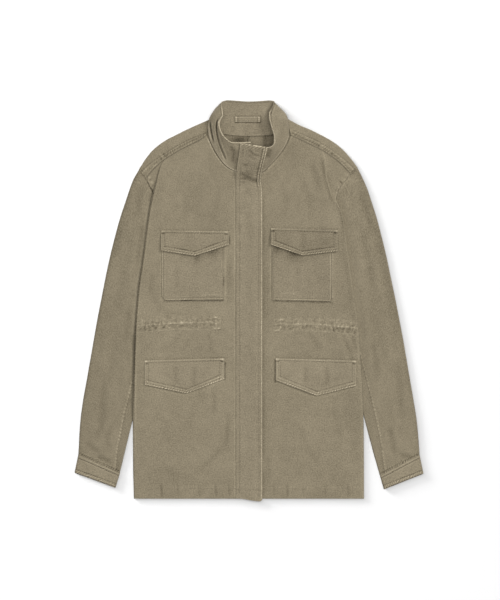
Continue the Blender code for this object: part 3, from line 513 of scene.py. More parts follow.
# ---------------------------------------------------------------- back panels
ROLL_R = (LEVEL_FRONT - LEVEL_BACK) / 2


def back_top(side, col):
    neck = BACK_NECK[side]
    line = moved_in(ROLL[side], side, ROLL_R + WALL / 2)
    corner = line["col"][0]
    on_neck = (col - corner) * OUT[side] < 0
    return np.where(
        on_neck,
        smooth(col, neck["col"], neck["row"]),
        smooth(col, line["col"], line["row"]),
    )


def back_grid(side, us, rows):
    """Back half: us from the centre-back seam (0) to the armhole and side seam (1)."""
    b = BACK_SIDE[side]
    u, side_row = np.meshgrid(us, rows, indexing="ij")
    first = b["row"][0]
    v = (side_row - first) / (HEM - first)
    edge = smooth(side_row, b["row"], b["col"])
    middle = BACK_EDGE[side]
    col = middle + u * (edge - middle)
    top = back_top(side, middle + u * (b["col"][0] - middle))
    row = top + v * (HEM - top)
    return np.stack([col, row, back_z(side, col, row)], -1)


def shoulder_grid(side, us, first_row, arc=3, run=2):
    """The back's shoulder rolled over to the forward shoulder seam, starting on back_grid's top edge."""
    start = back_grid(side, us, first_row)[:, 0]
    line = moved_in(ROLL[side], side, ROLL_R + WALL / 2)
    outer = moved_in(ROLL[side], side, WALL / 2)
    shoulder = SHOULDER[side]
    share = (us - us[0]) / (us[-1] - us[0])
    s_in = np.abs(start[:, 0] - line["col"][0]) / abs(line["col"][-1] - line["col"][0])
    out_col = smooth(s_in, np.abs(line["col"] - line["col"][0]) / abs(line["col"][-1] - line["col"][0]), outer["col"])
    out_row = smooth(s_in, np.abs(line["col"] - line["col"][0]) / abs(line["col"][-1] - line["col"][0]), outer["row"])
    seam_t = share if side == "l" else 1 - share
    seam_col, seam_row_ = along(shoulder, seam_t)
    # clear of the fronts by the seam gap, and of the sleeve at the tip
    gap = 0.4
    to_c, to_r = start[:, 0] - seam_col, start[:, 1] - seam_row_
    length = np.hypot(to_c, to_r)
    seam_col, seam_row_ = seam_col + gap * to_c / length, seam_row_ + gap * to_r / length
    rows = [start]
    for k in range(1, arc + 1):
        a = math.pi * k / arc
        share_out = math.sin(a)
        rows.append(
            np.stack(
                [
                    start[:, 0] + (out_col - start[:, 0]) * share_out,
                    start[:, 1] + (out_row - start[:, 1]) * share_out,
                    np.full(len(us), LEVEL_BACK + ROLL_R * (1 - math.cos(a))),
                ],
                -1,
            )
        )
    last = rows[-1]
    end = np.stack([seam_col, seam_row_, np.full(len(us), LEVEL_FRONT)], -1)
    rows += [last + (end - last) * k / run for k in range(1, run + 1)]
    return np.stack(rows[::-1], 1)


# ---------------------------------------------------------------- sleeves
def coons(first, last, left, right, u, v):
    """(col, row) inside four edge curves: first and last run along u, left and right along v."""
    a, b = np.stack(along(first, u), -1), np.stack(along(last, u), -1)
    c, d = np.stack(along(left, v), -1), np.stack(along(right, v), -1)
    corners = [np.array([e["col"][i], e["row"][i]]) for e, i in ((first, 0), (first, -1), (last, 0), (last, -1))]
    u, v = u[..., None], v[..., None]
    flat = (
        corners[0] * (1 - u) * (1 - v)
        + corners[1] * u * (1 - v)
        + corners[2] * (1 - u) * v
        + corners[3] * u * v
    )
    return (1 - v) * a + v * b + (1 - u) * c + u * d - flat


def inner_curve(side):
    t = INNER[side]
    start = CAP[side]["row"][-1]
    keep = t["row"] > start
    return {
        "col": np.concatenate([[CAP[side]["col"][-1]], t["col"][keep]]),
        "row": np.concatenate([[start], t["row"][keep]]),
    }


def sleeve_edges(side, lower):
    """Edge curves of one layer, pulled in by half a wall at the two folds."""
    cap = CAP[side]
    if lower:
        b = BACK_SIDE[side]
        keep = b["row"] < 271
        cap = {"col": b["col"][keep] + OUT[side] * 0.75, "row": b["row"][keep] + 0.3}
        cap["col"][0], cap["row"][0] = CAP[side]["col"][0], CAP[side]["row"][0]
        cap["col"][-1], cap["row"][-1] = CAP[side]["col"][-1], CAP[side]["row"][-1]
    outer, inner = OUTER[side], inner_curve(side)
    seam = {
        "col": np.array([outer["col"][-1], inner["col"][-1]]),
        "row": np.array([outer["row"][-1], inner["row"][-1]]),
    }
    return cap, seam, outer, inner


def sleeve_grid(side, us, vs):
    """Ring after ring from the armhole to the cuff. us are places across the flattened
    tube: 0 at the outer fold, 1 at the inner fold, then back to 2 along the lower layer."""
    u, v = np.meshgrid(us, vs, indexing="ij")
    lower = u > 1
    across = np.where(lower, 2 - u, u)
    upper_xy = coons(*sleeve_edges(side, False), across, v)
    lower_xy = coons(*sleeve_edges(side, True), across, v)
    # towards the two folds both layers meet
    edge = np.minimum(across, 1 - across)
    blend = np.clip(edge / 0.06, 0, 1)[..., None]
    middle = (upper_xy + lower_xy) / 2
    upper_xy = middle + (upper_xy - middle) * blend
    lower_xy = middle + (lower_xy - middle) * blend
    xy = np.where(lower[..., None], lower_xy, upper_xy)
    top = sleeve_z(side, upper_xy[..., 0], upper_xy[..., 1])
    centre, r = (top + LEVEL_BACK) / 2, (top - LEVEL_BACK) / 2
    width = np.hypot(
        *(coons(*sleeve_edges(side, False), np.ones_like(v), v) - coons(*sleeve_edges(side, False), np.zeros_like(v), v)).transpose(2, 0, 1)
    ) * MM
    depth = np.clip(edge * width / r, 0, 1)
    rise = np.sqrt(np.clip(1 - (1 - depth) ** 2, 0, 1)) * r
    z = np.where(lower, centre - rise, centre + rise)
    # half a wall inside the outline
    pull = (WALL / 2 / MM) * (1 - 2 * np.clip(across, 0, 1))
    xy = xy.copy()
    xy[..., 0] -= OUT[side] * pull * 1.0
    return np.concatenate([xy, z[..., None]], -1)


def cuff_grid(side, us, vs, wall=CUFF_WALL):
    c = CUFF[side]
    corner = np.stack([c["col"], c["row"]], -1)
    u, v = np.meshgrid(us, vs, indexing="ij")
    lower = u > 1
    across = np.where(lower, 2 - u, u)
    top_edge = corner[0] + (corner[1] - corner[0]) * across[..., None]
    bottom_edge = corner[3] + (corner[2] - corner[3]) * across[..., None]
    xy = top_edge + (bottom_edge - top_edge) * v[..., None]
    low = wall / 2
    high = LEVEL_SLEEVE + 0.4
    centre, r = (low + high) / 2, (high - low) / 2
    width = 45 * MM
    depth = np.clip(np.minimum(across, 1 - across) * width / r, 0, 1)
    rise = np.sqrt(np.clip(1 - (1 - depth) ** 2, 0, 1)) * r
    z = np.where(lower, centre - rise, centre + rise)
    xy[..., 0] -= OUT[side] * (wall / 2 / MM) * (1 - 2 * across)
    return np.concatenate([xy, z[..., None]], -1)


# ---------------------------------------------------------------- collar
def collar_mid(us, vs):
    c = COLLAR
    n = len(c["n_col"]) - 1
    s = np.arange(n + 1) / n
    get = lambda name, u: smooth(u, s, c[name])
    u, v = np.meshgrid(us, vs, indexing="ij")
    parts = []
    for axis in ("col", "row", "z"):
        start, end, bow = get("n_" + axis, u), get("e_" + axis, u), get("b_" + axis, u)
        parts.append(start + (end - start) * v + 4 * v * (1 - v) * bow)
    return np.stack(parts, -1)


# ---------------------------------------------------------------- pieces laid on the fronts
def front_side(col):
    return np.where(col < 253.5, 0, 1)


def on_front(col, row, off):
    z = np.where(front_side(col) == 0, front_z("r", col, row), front_z("l", col, row))
    return np.stack([col, row, z + off], -1)


def placket_grid(us, rows):
    p = PLACKET
    u, along_row = np.meshgrid(us, rows, indexing="ij")
    edge = smooth(along_row, p["row"], p["edge"])
    free = smooth(along_row, p["row"], p["free"])
    col = edge + (free - edge) * u
    share = along_row / p["row"][-1]
    top = PLACKET_TOP + PLACKET_TILT * (col - 240.5)
    bottom = HEM + 2.6 * ease((u - 0.1) / 0.8) - 1.4 * ease((u - 0.93) / 0.07)
    row = top + (bottom - top) * share
    swell = 1.2 + 1.2 * (1 - ease((row - 168) / 14))
    z = smooth(along_row, p["row"], p["height"]) + swell * np.exp(-(((col - CHAIN_COL) / 6.0) ** 2))
    return np.stack([col, row, z], -1)


def pocket_grid(i, us, vs, off=WALL + SEAM + 0.2):
    p = {k: a[i] for k, a in POCKETS.items()}
    u, v = np.meshgrid(us, vs, indexing="ij")
    col = p["low_col"] + (p["high_col"] - p["low_col"]) * u
    top = p["low_top"] + (p["high_top"] - p["low_top"]) * u
    bottom = p["low_bottom"] + (p["high_bottom"] - p["low_bottom"]) * u
    near = u if i == 0 else 1 - u  # the lower corner nearest the side is cut off round
    bottom = bottom - 3.6 * (1 - ease(near / 0.07))
    row = top + (bottom - top) * v
    return on_front(col, row, off)


def flap_grid(i, us, vs):
    f = {k: a[i] for k, a in FLAPS.items()}
    u, v = np.meshgrid(us, vs, indexing="ij")
    tip = (f["tip_col"] - f["low_col"]) / (f["high_col"] - f["low_col"])
    col = f["low_col"] + (f["high_col"] - f["low_col"]) * u
    top = f["low_top"] + (f["high_top"] - f["low_top"]) * u
    bottom = np.where(
        u < tip,
        f["low_bottom"] + (f["tip_row"] - f["low_bottom"]) * u / tip,
        f["tip_row"] + (f["high_bottom"] - f["tip_row"]) * (u - tip) / (1 - tip),
    )
    row = top + (bottom - top) * v
    off = WALL + SEAM + 0.2
    if i < 2:  # the chest flaps lie over their pockets
        off = off + (WALL + SEAM + 0.2) * ease((row - 232.5) / 5)
    return on_front(col, row, off + f["rise"] * v**2)


def tip_share(i):
    f = {k: a[i] for k, a in FLAPS.items()}
    return (f["tip_col"] - f["low_col"]) / (f["high_col"] - f["low_col"])


# ---------------------------------------------------------------- meshes
def metres(points):
    p = np.asarray(points, float)
    return np.stack(
        [(p[..., 0] - COL0) * SQ, (ROW0 - p[..., 1]) * SQ, p[..., 2] / 1000], -1
    )


def quads(nu, nv, ring=False, start=0):
    n = nu if ring else nu - 1
    return [
        (
            start + i * nv + j,
            start + (i + 1) % nu * nv + j,
            start + (i + 1) % nu * nv + j + 1,
            start + i * nv + j + 1,
        )
        for i in range(n)
        for j in range(nv - 1)
    ]




# ================================================================ looks
# ---------------------------------------------------------------- noise and paths
def noise(x, y, scale, seed, stretch=1.0, turn=0.0):
    """Smooth noise of -1..1 whose features are about scale squares wide and stretch times as
    long, the long way turned by an angle in degrees from the rows' direction (down)."""
    a = math.radians(turn)
    x, y = x * math.cos(a) - y * math.sin(a), (x * math.sin(a) + y * math.cos(a)) / stretch
    grid = np.random.default_rng(seed).uniform(-1, 1, (128, 128))
    x, y = x / scale + 300.3, y / scale + 300.7
    i, j = np.floor(x).astype(int), np.floor(y).astype(int)
    fx, fy = x - i, y - j
    fx, fy = fx**3 * (fx * (6 * fx - 15) + 10), fy**3 * (fy * (6 * fy - 15) + 10)
    i, j, k, m = i % 128, j % 128, (i + 1) % 128, (j + 1) % 128
    return (grid[i, j] * (1 - fx) + grid[k, j] * fx) * (1 - fy) + (grid[i, m] * (1 - fx) + grid[k, m] * fx) * fy


def near(path, col, row, reach):
    """For the points within reach squares of a path: their index, signed distance (above zero
    to the right of the way the path runs, seen from above) and length along it."""
    p = np.asarray(path, float)
    c, r = col.ravel(), row.ravel()
    lo, hi = p.min(0) - reach, p.max(0) + reach
    index = np.nonzero((c > lo[0]) & (c < hi[0]) & (r > lo[1]) & (r < hi[1]))[0]
    c, r = c[index], r[index]
    best = np.full(len(index), 1e9)
    side, place = np.zeros(len(index)), np.zeros(len(index))
    start = 0.0
    for a, b in zip(p[:-1], p[1:]):
        d = b - a
        length = math.hypot(*d)
        d = d / length
        t = np.clip((c - a[0]) * d[0] + (r - a[1]) * d[1], 0, length)
        dx, dy = c - a[0] - d[0] * t, r - a[1] - d[1] * t
        gap = np.hypot(dx, dy)
        # rows grow downwards, so the right-hand side is (-d_row, d_col)
        cross = -d[1] * (c - a[0]) + d[0] * (r - a[1])
        take = gap < best
        best[take] = gap[take]
        side[take] = np.sign(cross[take])
        place[take] = start + t[take]
        start += length
    keep = best < reach
    return index[keep], (best * side)[keep], place[keep], start


def curved(points, step=1.5):
    """A path through the points, rounded, with a point every step squares."""
    p = np.asarray(points, float)
    s = np.concatenate([[0], np.cumsum(np.hypot(*np.diff(p, axis=0).T))])
    t = np.linspace(0, s[-1], max(2, int(s[-1] / step) + 1))
    if len(p) == 2:
        return np.stack([np.interp(t, s, p[:, 0]), np.interp(t, s, p[:, 1])], -1)
    return np.stack([smooth(t, s, p[:, 0]), smooth(t, s, p[:, 1])], -1)


class Relief:
    """Height in millimetres along the cloth's normal and lightness (tone) of a piece's points;
    the lightness is mostly painted light and shade.
    """

    def __init__(self, col, row):
        self.col, self.row = col, row
        self.high = np.zeros(col.shape)
        self.tone = np.zeros(col.shape)

    def add(self, high=0.0, tone=0.0):
        self.high = self.high + high
        self.tone = self.tone + tone
        return self

    def _put(self, index, high, tone):
        self.high.reshape(-1)[index] += high
        self.tone.reshape(-1)[index] += tone

    def crease(self, path, width, depth, lip=0.35, tone=0.35, lean=0.0, ends=0.3):
        """A soft trough with a low ridge at each side, dying out towards both ends. lean puts
        more of the ridge to the right (above zero) or left of the path. The tone paints shade in
        the trough and a little light on the ridges."""
        index, d, s, total = near(curved(path), self.col, self.row, width * 4)
        fade = ease(s / (ends * total + 1e-6)) * ease((total - s) / (ends * total + 1e-6))
        trough = np.exp(-((d / width) ** 2))
        right = np.exp(-(((d - 1.9 * width) / (1.1 * width)) ** 2)) * (1 + lean)
        left = np.exp(-(((d + 1.9 * width) / (1.1 * width)) ** 2)) * (1 - lean)
        self._put(
            index,
            fade * depth * (-trough + lip * (right + left)),
            fade * tone * (-trough + 0.35 * lip * (right + left)),
        )
        return self

    def ridge(self, path, width, height, tone=0.25, ends=0.3):
        # the tone paints light along the ridge
        index, d, s, total = near(curved(path), self.col, self.row, width * 3)
        fade = ease(s / (ends * total + 1e-6)) * ease((total - s) / (ends * total + 1e-6))
        bump = fade * np.exp(-((d / width) ** 2))
        self._put(index, height * bump, tone * bump)
        return self

    def line(self, path, width, depth, tone, beads=0.0, pitch=2.4, ends=0.0, seed=1):
        """A stitched-down line: a narrow groove (depth above zero) or roll (below zero), its
        depth and lightness uneven along the seam as the thread draws the cloth in. Its tone mostly
        paints shade in a groove and light on a roll; with no depth it lays a narrow painted shadow
        (below zero) or line of painted light (above zero) beside an edge."""
        index, d, s, total = near(curved(path), self.col, self.row, width * 3.2)
        fade = 1.0
        if ends > 0:
            fade = ease(s / ends) * ease((total - s) / ends)
        wobble = 0.5 + 0.5 * np.sin(2 * math.pi * (s / pitch + 0.6 * noise(s, s * 0, 7.0, seed)) + 0.9 * d)
        uneven = 1 + 0.45 * noise(s, s * 0 + 3, 11.0, seed + 7)
        bell = np.exp(-((d / width) ** 2)) * fade * uneven
        self._put(index, -depth * bell * (1 - beads + beads * 2 * wobble), tone * bell * (1 - beads + beads * 2 * wobble))
        return self

    def rope(self, path, half, height, tone, pitch=2.5, slant=0.55, seed=3, ends=2.0):
        """The puckered roll of a folded seam between its rows of stitches: slanting
        swellings of uneven size, along the path and half squares to each side. The tone paints
        light on the swellings and shade between them."""
        index, d, s, total = near(curved(path), self.col, self.row, half * 2.2)
        fade = ease(s / ends) * ease((total - s) / ends)
        phase = s / pitch + slant * d / pitch + 0.55 * noise(s, s * 0, 6.0, seed)
        swell = np.sin(2 * math.pi * phase) * (0.75 + 0.5 * noise(s, s * 0 + 9, 4.0, seed + 1))
        band = 1 / (1 + (np.abs(d) / half) ** 6)
        self._put(index, fade * band * height * (0.6 + 0.5 * swell), fade * band * tone * (0.1 + 0.9 * swell))
        return self

    def pucker(self, path, reach, height, pitch=4.0, slant=0.3, seed=5, tone=0.06, side=0):
        """Short uneven waves across a seam, dying out away from it, on both sides or on one, with
        painted light and shade following the waves.
        """
        index, d, s, total = near(curved(path), self.col, self.row, reach * 2.4)
        wave = noise(s + slant * d, d * 0.12, pitch / 2, seed) * (0.7 + 0.5 * noise(s, s * 0, 17.0, seed + 2))
        die = np.exp(-((d / reach) ** 2))
        if side:
            die = die * ease(0.5 + side * d / 0.8)
        self._put(index, height * wave * die, tone * wave * die)
        return self

    def marks(self, path, spans, width, high, tone, soft=0.8):
        """Uneven dashes along a path: spans = (from, to, strength) in squares along it."""
        index, d, s, total = near(curved(path), self.col, self.row, width * 3)
        size = np.zeros(len(s))
        for a, b, strength in spans:
            size = np.maximum(size, strength * ease((s - a) / soft + 0.5) * ease((b - s) / soft + 0.5))
        bell = size * np.exp(-((d / width) ** 2))
        self._put(index, high * bell, tone * bell)
        return self

    def spots(self, places_, high, tone):
        """Single swellings or dents: (col, row, half length, half width, turn in degrees, strength).
        The tone lightens swellings and darkens dents as painted light and shade, and lightens or
        darkens a spot that has no height.
        """
        c, r = self.col.ravel(), self.row.ravel()
        for col, row, long_, wide, turn, strength in places_:
            index = np.nonzero((np.abs(c - col) < 2.4 * max(long_, wide)) & (np.abs(r - row) < 2.4 * max(long_, wide)))[0]
            a = math.radians(turn)
            x, y = c[index] - col, r[index] - row
            x, y = x * math.cos(a) + y * math.sin(a), y * math.cos(a) - x * math.sin(a)
            bell = strength * np.exp(-((np.abs(x) / long_) ** 2.6) - (np.abs(y) / wide) ** 2.2)
            self._put(index, high * bell, tone * bell)
        return self

    def within(self, share):
        """Keeps only this share of what has been laid so far, point by point."""
        self.high, self.tone = self.high * share, self.tone * share
        return self


# ---------------------------------------------------------------- materials
LINEAR = dict(
    canvas=(0.243, 0.206, 0.139),
    canvas_trim=(0.253, 0.2145, 0.146),
    thread=(0.315, 0.272, 0.193),
    zip_tape=(0.12, 0.10, 0.075),
    brass=(0.72, 0.66, 0.5),
)


def node(tree, kind, **settings):
    n = tree.nodes.new(kind)
    for key, value in settings.items():
        setattr(n, key, value)
    return n


def maths(tree, operation, a, b=None, c=None):
    n = node(tree, "ShaderNodeMath", operation=operation)
    for socket, value in zip(n.inputs, (a, b, c)):
        if value is None:
            continue
        if isinstance(value, (int, float)):
            socket.default_value = value
        else:
            tree.links.new(value, socket)
    return n.outputs[0]


def noise_node(tree, vector, scale, detail=2.0, rough=0.5, stretch=(1, 1, 1)):
    m = node(tree, "ShaderNodeMapping")
    m.inputs["Scale"].default_value = stretch
    tree.links.new(vector, m.inputs["Vector"])
    n = node(tree, "ShaderNodeTexNoise")
    n.inputs["Scale"].default_value = scale
    n.inputs["Detail"].default_value = detail
    n.inputs["Roughness"].default_value = rough
    tree.links.new(m.outputs[0], n.inputs["Vector"])
    return n.outputs["Fac"]


def canvas_material(name, colour, rough=0.9, sheen=0.12, contrast=1.0):
    """Washed cotton canvas: plain weave with uneven threads and faint clouds of wear. The tone
    each point carries paints light and shade into the colour: lighter on raised edges, darker
    in seams, creases and beside or under the pieces that lie on it."""
    m = bpy.data.materials.new(name)
    m.use_nodes = True
    tree = m.node_tree
    shader = tree.nodes["Principled BSDF"]
    uv = node(tree, "ShaderNodeUVMap", uv_map="cloth").outputs[0]
    tone = node(tree, "ShaderNodeAttribute", attribute_name="tone").outputs["Fac"]
    fine = noise_node(tree, uv, 380, 1.5, 0.6)
    cloud = noise_node(tree, uv, 55, 3.0, 0.55)
    broad = noise_node(tree, uv, 11, 2.0, 0.5)
    warp = noise_node(tree, uv, 1.0, 1.5, 0.5, (1100, 60, 1))
    weft = noise_node(tree, uv, 1.0, 1.5, 0.5, (60, 1100, 1))
    split = node(tree, "ShaderNodeSeparateXYZ")
    tree.links.new(uv, split.inputs[0])
    pitch = 2 * math.pi / 0.00105
    wx = maths(tree, "SINE", maths(tree, "MULTIPLY", split.outputs[0], pitch))
    wy = maths(tree, "SINE", maths(tree, "MULTIPLY", split.outputs[1], pitch))
    weave = maths(tree, "MULTIPLY", wx, wy)
    f = maths(tree, "MULTIPLY_ADD", tone, 0.5, 0.5)
    for value, share in ((fine, 0.74), (cloud, 0.17), (broad, 0.16), (warp, 0.21), (weft, 0.21)):
        f = maths(tree, "MULTIPLY_ADD", maths(tree, "SUBTRACT", value, 0.5), share * contrast, f)
    f = maths(tree, "MULTIPLY_ADD", weave, 0.02, f)
    ramp = node(tree, "ShaderNodeValToRGB")
    e = ramp.color_ramp.elements
    e[0].position, e[1].position = 0.0, 1.0
    e[0].color = (*[c * k for c, k in zip(colour, (0.20, 0.19, 0.17))], 1)
    e[1].color = (*[c * k for c, k in zip(colour, (2.50, 2.55, 2.72))], 1)
    for at, k in ((0.25, (0.62, 0.61, 0.59)), (0.5, (1, 1, 1)), (0.75, (1.40, 1.41, 1.44))):
        middle = e.new(at)
        middle.color = (*[c * m for c, m in zip(colour, k)], 1)
    tree.links.new(f, ramp.inputs[0])
    tree.links.new(ramp.outputs[0], shader.inputs["Base Color"])
    high = maths(tree, "MULTIPLY_ADD", weave, 0.22, maths(tree, "MULTIPLY_ADD", warp, 0.8, maths(tree, "MULTIPLY", weft, 0.8)))
    high = maths(tree, "MULTIPLY_ADD", fine, 1.1, high)
    bump = node(tree, "ShaderNodeBump")
    bump.inputs["Strength"].default_value = 0.55
    bump.inputs["Distance"].default_value = 0.00035
    tree.links.new(high, bump.inputs["Height"])
    tree.links.new(bump.outputs[0], shader.inputs["Normal"])
    shader.inputs["Roughness"].default_value = rough
    shader.inputs["Specular IOR Level"].default_value = 0.25
    shader.inputs["Sheen Weight"].default_value = sheen
    shader.inputs["Sheen Roughness"].default_value = 0.5
    return m


def metal_material(name, colour):
    m = bpy.data.materials.new(name)
    m.use_nodes = True
    tree = m.node_tree
    shader = tree.nodes["Principled BSDF"]
    place = node(tree, "ShaderNodeTexCoord").outputs["Object"]
    worn = noise_node(tree, place, 900, 3.0, 0.6)
    ramp = node(tree, "ShaderNodeValToRGB")
    e = ramp.color_ramp.elements
    e[0].position, e[1].position = 0.3, 0.7
    e[0].color = (*[c * 0.7 for c in colour], 1)
    e[1].color = (*colour, 1)
    tree.links.new(worn, ramp.inputs[0])
    tree.links.new(ramp.outputs[0], shader.inputs["Base Color"])
    rough = maths(tree, "MULTIPLY_ADD", worn, 0.25, 0.22)
    tree.links.new(rough, shader.inputs["Roughness"])
    shader.inputs["Metallic"].default_value = 1.0
    return m


MATERIAL = {
    "canvas": canvas_material("canvas_looks", LINEAR["canvas"]),
    "canvas_trim": canvas_material("canvas_trim_looks", LINEAR["canvas_trim"]),
    "thread": canvas_material("thread_looks", LINEAR["thread"], rough=0.6, sheen=0.05, contrast=0.6),
    "zip_tape": canvas_material("zip_tape_looks", LINEAR["zip_tape"]),
    "brass": metal_material("brass_looks", LINEAR["brass"]),
}


# ---------------------------------------------------------------- shells
def make_mesh(name, points, faces, uv, tone, slot):
    """faces: arrays of equal-length polygons and lists of single ones."""
    loops, sizes = [], []
    for group in faces:
        if isinstance(group, np.ndarray):
            loops.append(group.reshape(-1))
            sizes.append(np.full(len(group), group.shape[1]))
        else:
            loops.append(np.array([i for f in group for i in f]))
            sizes.append(np.array([len(f) for f in group]))
    loops, sizes = np.concatenate(loops).astype(np.int32), np.concatenate(sizes).astype(np.int32)
    starts = np.concatenate([[0], np.cumsum(sizes)[:-1]]).astype(np.int32)
    mesh = bpy.data.meshes.new(name)
    mesh.vertices.add(len(points))
    mesh.vertices.foreach_set("co", np.ascontiguousarray(points, dtype=np.float32).reshape(-1))
    mesh.loops.add(len(loops))
    mesh.loops.foreach_set("vertex_index", loops)
    mesh.polygons.add(len(sizes))
    mesh.polygons.foreach_set("loop_start", starts)
    mesh.polygons.foreach_set("loop_total", sizes)
    mesh.polygons.foreach_set("use_smooth", np.ones(len(sizes), dtype=bool))
    layer = mesh.uv_layers.new(name="cloth")
    layer.data.foreach_set("uv", np.ascontiguousarray(uv[loops], dtype=np.float32).reshape(-1))
    mark = mesh.attributes.new("tone", "FLOAT", "POINT")
    mark.data.foreach_set("value", np.ascontiguousarray(tone, dtype=np.float32))
    mesh.update(calc_edges=True)
    mesh.validate()
    mesh.set_sharp_from_angle(angle=math.radians(62))
    obj = bpy.data.objects.new(name, mesh)
    bpy.context.scene.collection.objects.link(obj)
    mesh.materials.append(MATERIAL[slot])
    return obj


def normals(points, ring):
    """Unit normals of a mid-surface grid, along (down the piece) x (across the piece)."""
    if ring:
        du = np.roll(points, -1, 0) - np.roll(points, 1, 0)
    else:
        du = np.gradient(points, axis=0)
    dv = np.gradient(points, axis=1)
    n = np.cross(dv, du)
    size = np.linalg.norm(n, axis=-1, keepdims=True)
    flat = size[..., 0] < 1e-12
    n[flat] = (0, 0, 1)
    size[flat] = 1
    return n / size


def lowest(a, reach, axis, ring):
    """Least value within reach places along an axis."""
    out = a.copy()
    n = a.shape[axis]
    for k in range(1, reach + 1):
        for step in (-k, k):
            if ring:
                moved = np.roll(a, step, axis)
            else:
                moved = np.take(a, np.clip(np.arange(n) - step, 0, n - 1), axis)
            out = np.minimum(out, moved)
    return out


class Sheet:
    """Fine face of one piece of cloth and its plain back, with a rounded rim between them."""

    def __init__(self, grid, relief, wall, shown=1.0, centre=0.0, ring=False, skip=3, seed=0, span=None, rim=0.3):
        mid = metres(grid)
        n = normals(mid, ring) * shown
        high = relief.high if relief is not None else np.zeros(grid.shape[:2])
        tone = relief.tone if relief is not None else np.zeros(grid.shape[:2])
        nu, nv = grid.shape[:2]
        self.chart, self.normal = grid[..., :2], n
        closed = np.concatenate([mid, mid[:1]], 0) if ring else mid
        self.across = float(np.linalg.norm(np.diff(closed, axis=0), axis=-1).sum(0).max())
        self.down = float(np.linalg.norm(np.diff(mid, axis=1), axis=-1).sum(1).max())
        self.area = 0.5 * float(
            np.linalg.norm(np.cross(closed[1:, :-1] - closed[:-1, :-1], closed[:-1, 1:] - closed[:-1, :-1]), axis=-1).sum()
            + np.linalg.norm(np.cross(closed[1:, :-1] - closed[1:, 1:], closed[:-1, 1:] - closed[1:, 1:]), axis=-1).sum()
        )
        self.face = mid + n * ((centre + wall / 2 + high) / 1000)[..., None]
        iu = np.unique(np.append(np.arange(0, nu, skip), [] if ring else nu - 1)).astype(int)
        jv = np.unique(np.append(np.arange(0, nv, skip), nv - 1)).astype(int)
        if ring and nu % skip:
            iu = np.arange(nu)
        sunk = np.minimum(lowest(lowest(high, skip, 0, ring), skip, 1, False), 0)
        low = mid + n * ((centre - wall / 2 + sunk) / 1000)[..., None]
        low = low[np.ix_(iu, jv)]
        top_id = np.arange(nu * nv).reshape(nu, nv)
        low_id = nu * nv + np.arange(len(iu) * len(jv)).reshape(len(iu), len(jv))
        points = [self.face.reshape(-1, 3), low.reshape(-1, 3)]
        width = span or (1.0, 1.0)
        if ring:
            across = np.broadcast_to(
                np.concatenate([[0], np.cumsum(np.linalg.norm(np.diff(mid[:, nv // 2], axis=0), axis=-1))])[:, None], (nu, nv)
            )
        else:
            across = np.concatenate([np.zeros((1, nv)), np.cumsum(np.linalg.norm(np.diff(mid, axis=0), axis=-1), axis=0)], 0)
        down = np.broadcast_to(
            np.concatenate([[0], np.cumsum(np.linalg.norm(np.diff(mid[nu // 2], axis=0), axis=-1))])[None], (nu, nv)
        )
        shift = np.random.default_rng(seed + 100).uniform(0, 3, 2)
        uv_top = np.stack([across * width[0] + shift[0], down * width[1] + shift[1]], -1)
        uv = [uv_top.reshape(-1, 2), uv_top[np.ix_(iu, jv)].reshape(-1, 2)]
        tones = [tone.reshape(-1), np.zeros(len(iu) * len(jv))]
        outward = shown > 0

        def turn(q):
            return q if outward else q[:, ::-1]

        a = top_id
        if ring:
            a = np.concatenate([top_id, top_id[:1]], 0)
            b = np.concatenate([low_id, low_id[:1]], 0)
        else:
            b = low_id
        top_quads = np.stack([a[:-1, 1:], a[1:, 1:], a[1:, :-1], a[:-1, :-1]], -1).reshape(-1, 4)
        low_quads = np.stack([b[:-1, :-1], b[1:, :-1], b[1:, 1:], b[:-1, 1:]], -1).reshape(-1, 4)
        faces = [turn(top_quads), turn(low_quads)]
        # rim: from the face's border over a rounded middle line to the back's border
        count = nu * nv + low_id.size
        edges = [
            (a[:, 0], b[:, 0], mid[:, 0] - mid[:, 1], mid[:, 0], n[:, 0], iu, False, uv_top[:, 0], tone[:, 0], high[:, 0]),
            (a[:, -1], b[:, -1], mid[:, -1] - mid[:, -2], mid[:, -1], n[:, -1], iu, True, uv_top[:, -1], tone[:, -1], high[:, -1]),
        ]
        if not ring:
            edges += [
                (a[0], b[0], mid[0] - mid[1], mid[0], n[0], jv, True, uv_top[0], tone[0], high[0]),
                (a[-1], b[-1], mid[-1] - mid[-2], mid[-1], n[-1], jv, False, uv_top[-1], tone[-1], high[-1]),
            ]
        singles = []
        for border, base, out, place, up, coarse, flip, uv_line, tone_line, high_line in edges:
            size = np.linalg.norm(out, axis=-1, keepdims=True)
            out = out / np.maximum(size, 1e-9)
            half = wall / 2 * rim / 0.6
            middle = place + out * (half / 1000) + up * ((centre + high_line * 0.5) / 1000)[:, None]
            points.append(middle)
            uv.append(uv_line)
            tones.append(tone_line)
            ids = count + np.arange(len(place))
            count += len(place)
            stops = coarse
            if ring:
                ids = np.append(ids, ids[:1])
                stops = np.append(coarse, len(place))
            quads_ = np.stack([border[:-1], border[1:], ids[1:], ids[:-1]], -1)
            reverse = flip != (not outward)
            faces.append(quads_[:, ::-1] if reverse else quads_)
            for k in range(len(stops) - 1):
                p, q = stops[k], stops[k + 1]
                poly = [int(i) for i in ids[p : q + 1]] + [int(base[k + 1]), int(base[k])]
                singles.append(poly[::-1] if reverse else poly)
        faces.append(singles)
        self.data = (np.concatenate(points), faces, np.concatenate(uv), np.concatenate(tones))


def piece(name, nodes, slot, *sheets):
    """One shown object made of its sheets, standing for its CAD nodes."""
    points, faces, uv, tone, count = [], [], [], [], 0
    for s in sheets:
        p, f, u, t = s.data
        points.append(p)
        uv.append(u)
        tone.append(t)
        for group in f:
            if isinstance(group, np.ndarray):
                faces.append(group + count)
            else:
                faces.append([[i + count for i in poly] for poly in group])
        count += len(p)
    obj = make_mesh(name + "_cloth", np.concatenate(points), faces, np.concatenate(uv), np.concatenate(tone), slot)
    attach(obj, "root")
    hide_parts(*nodes)
    return obj


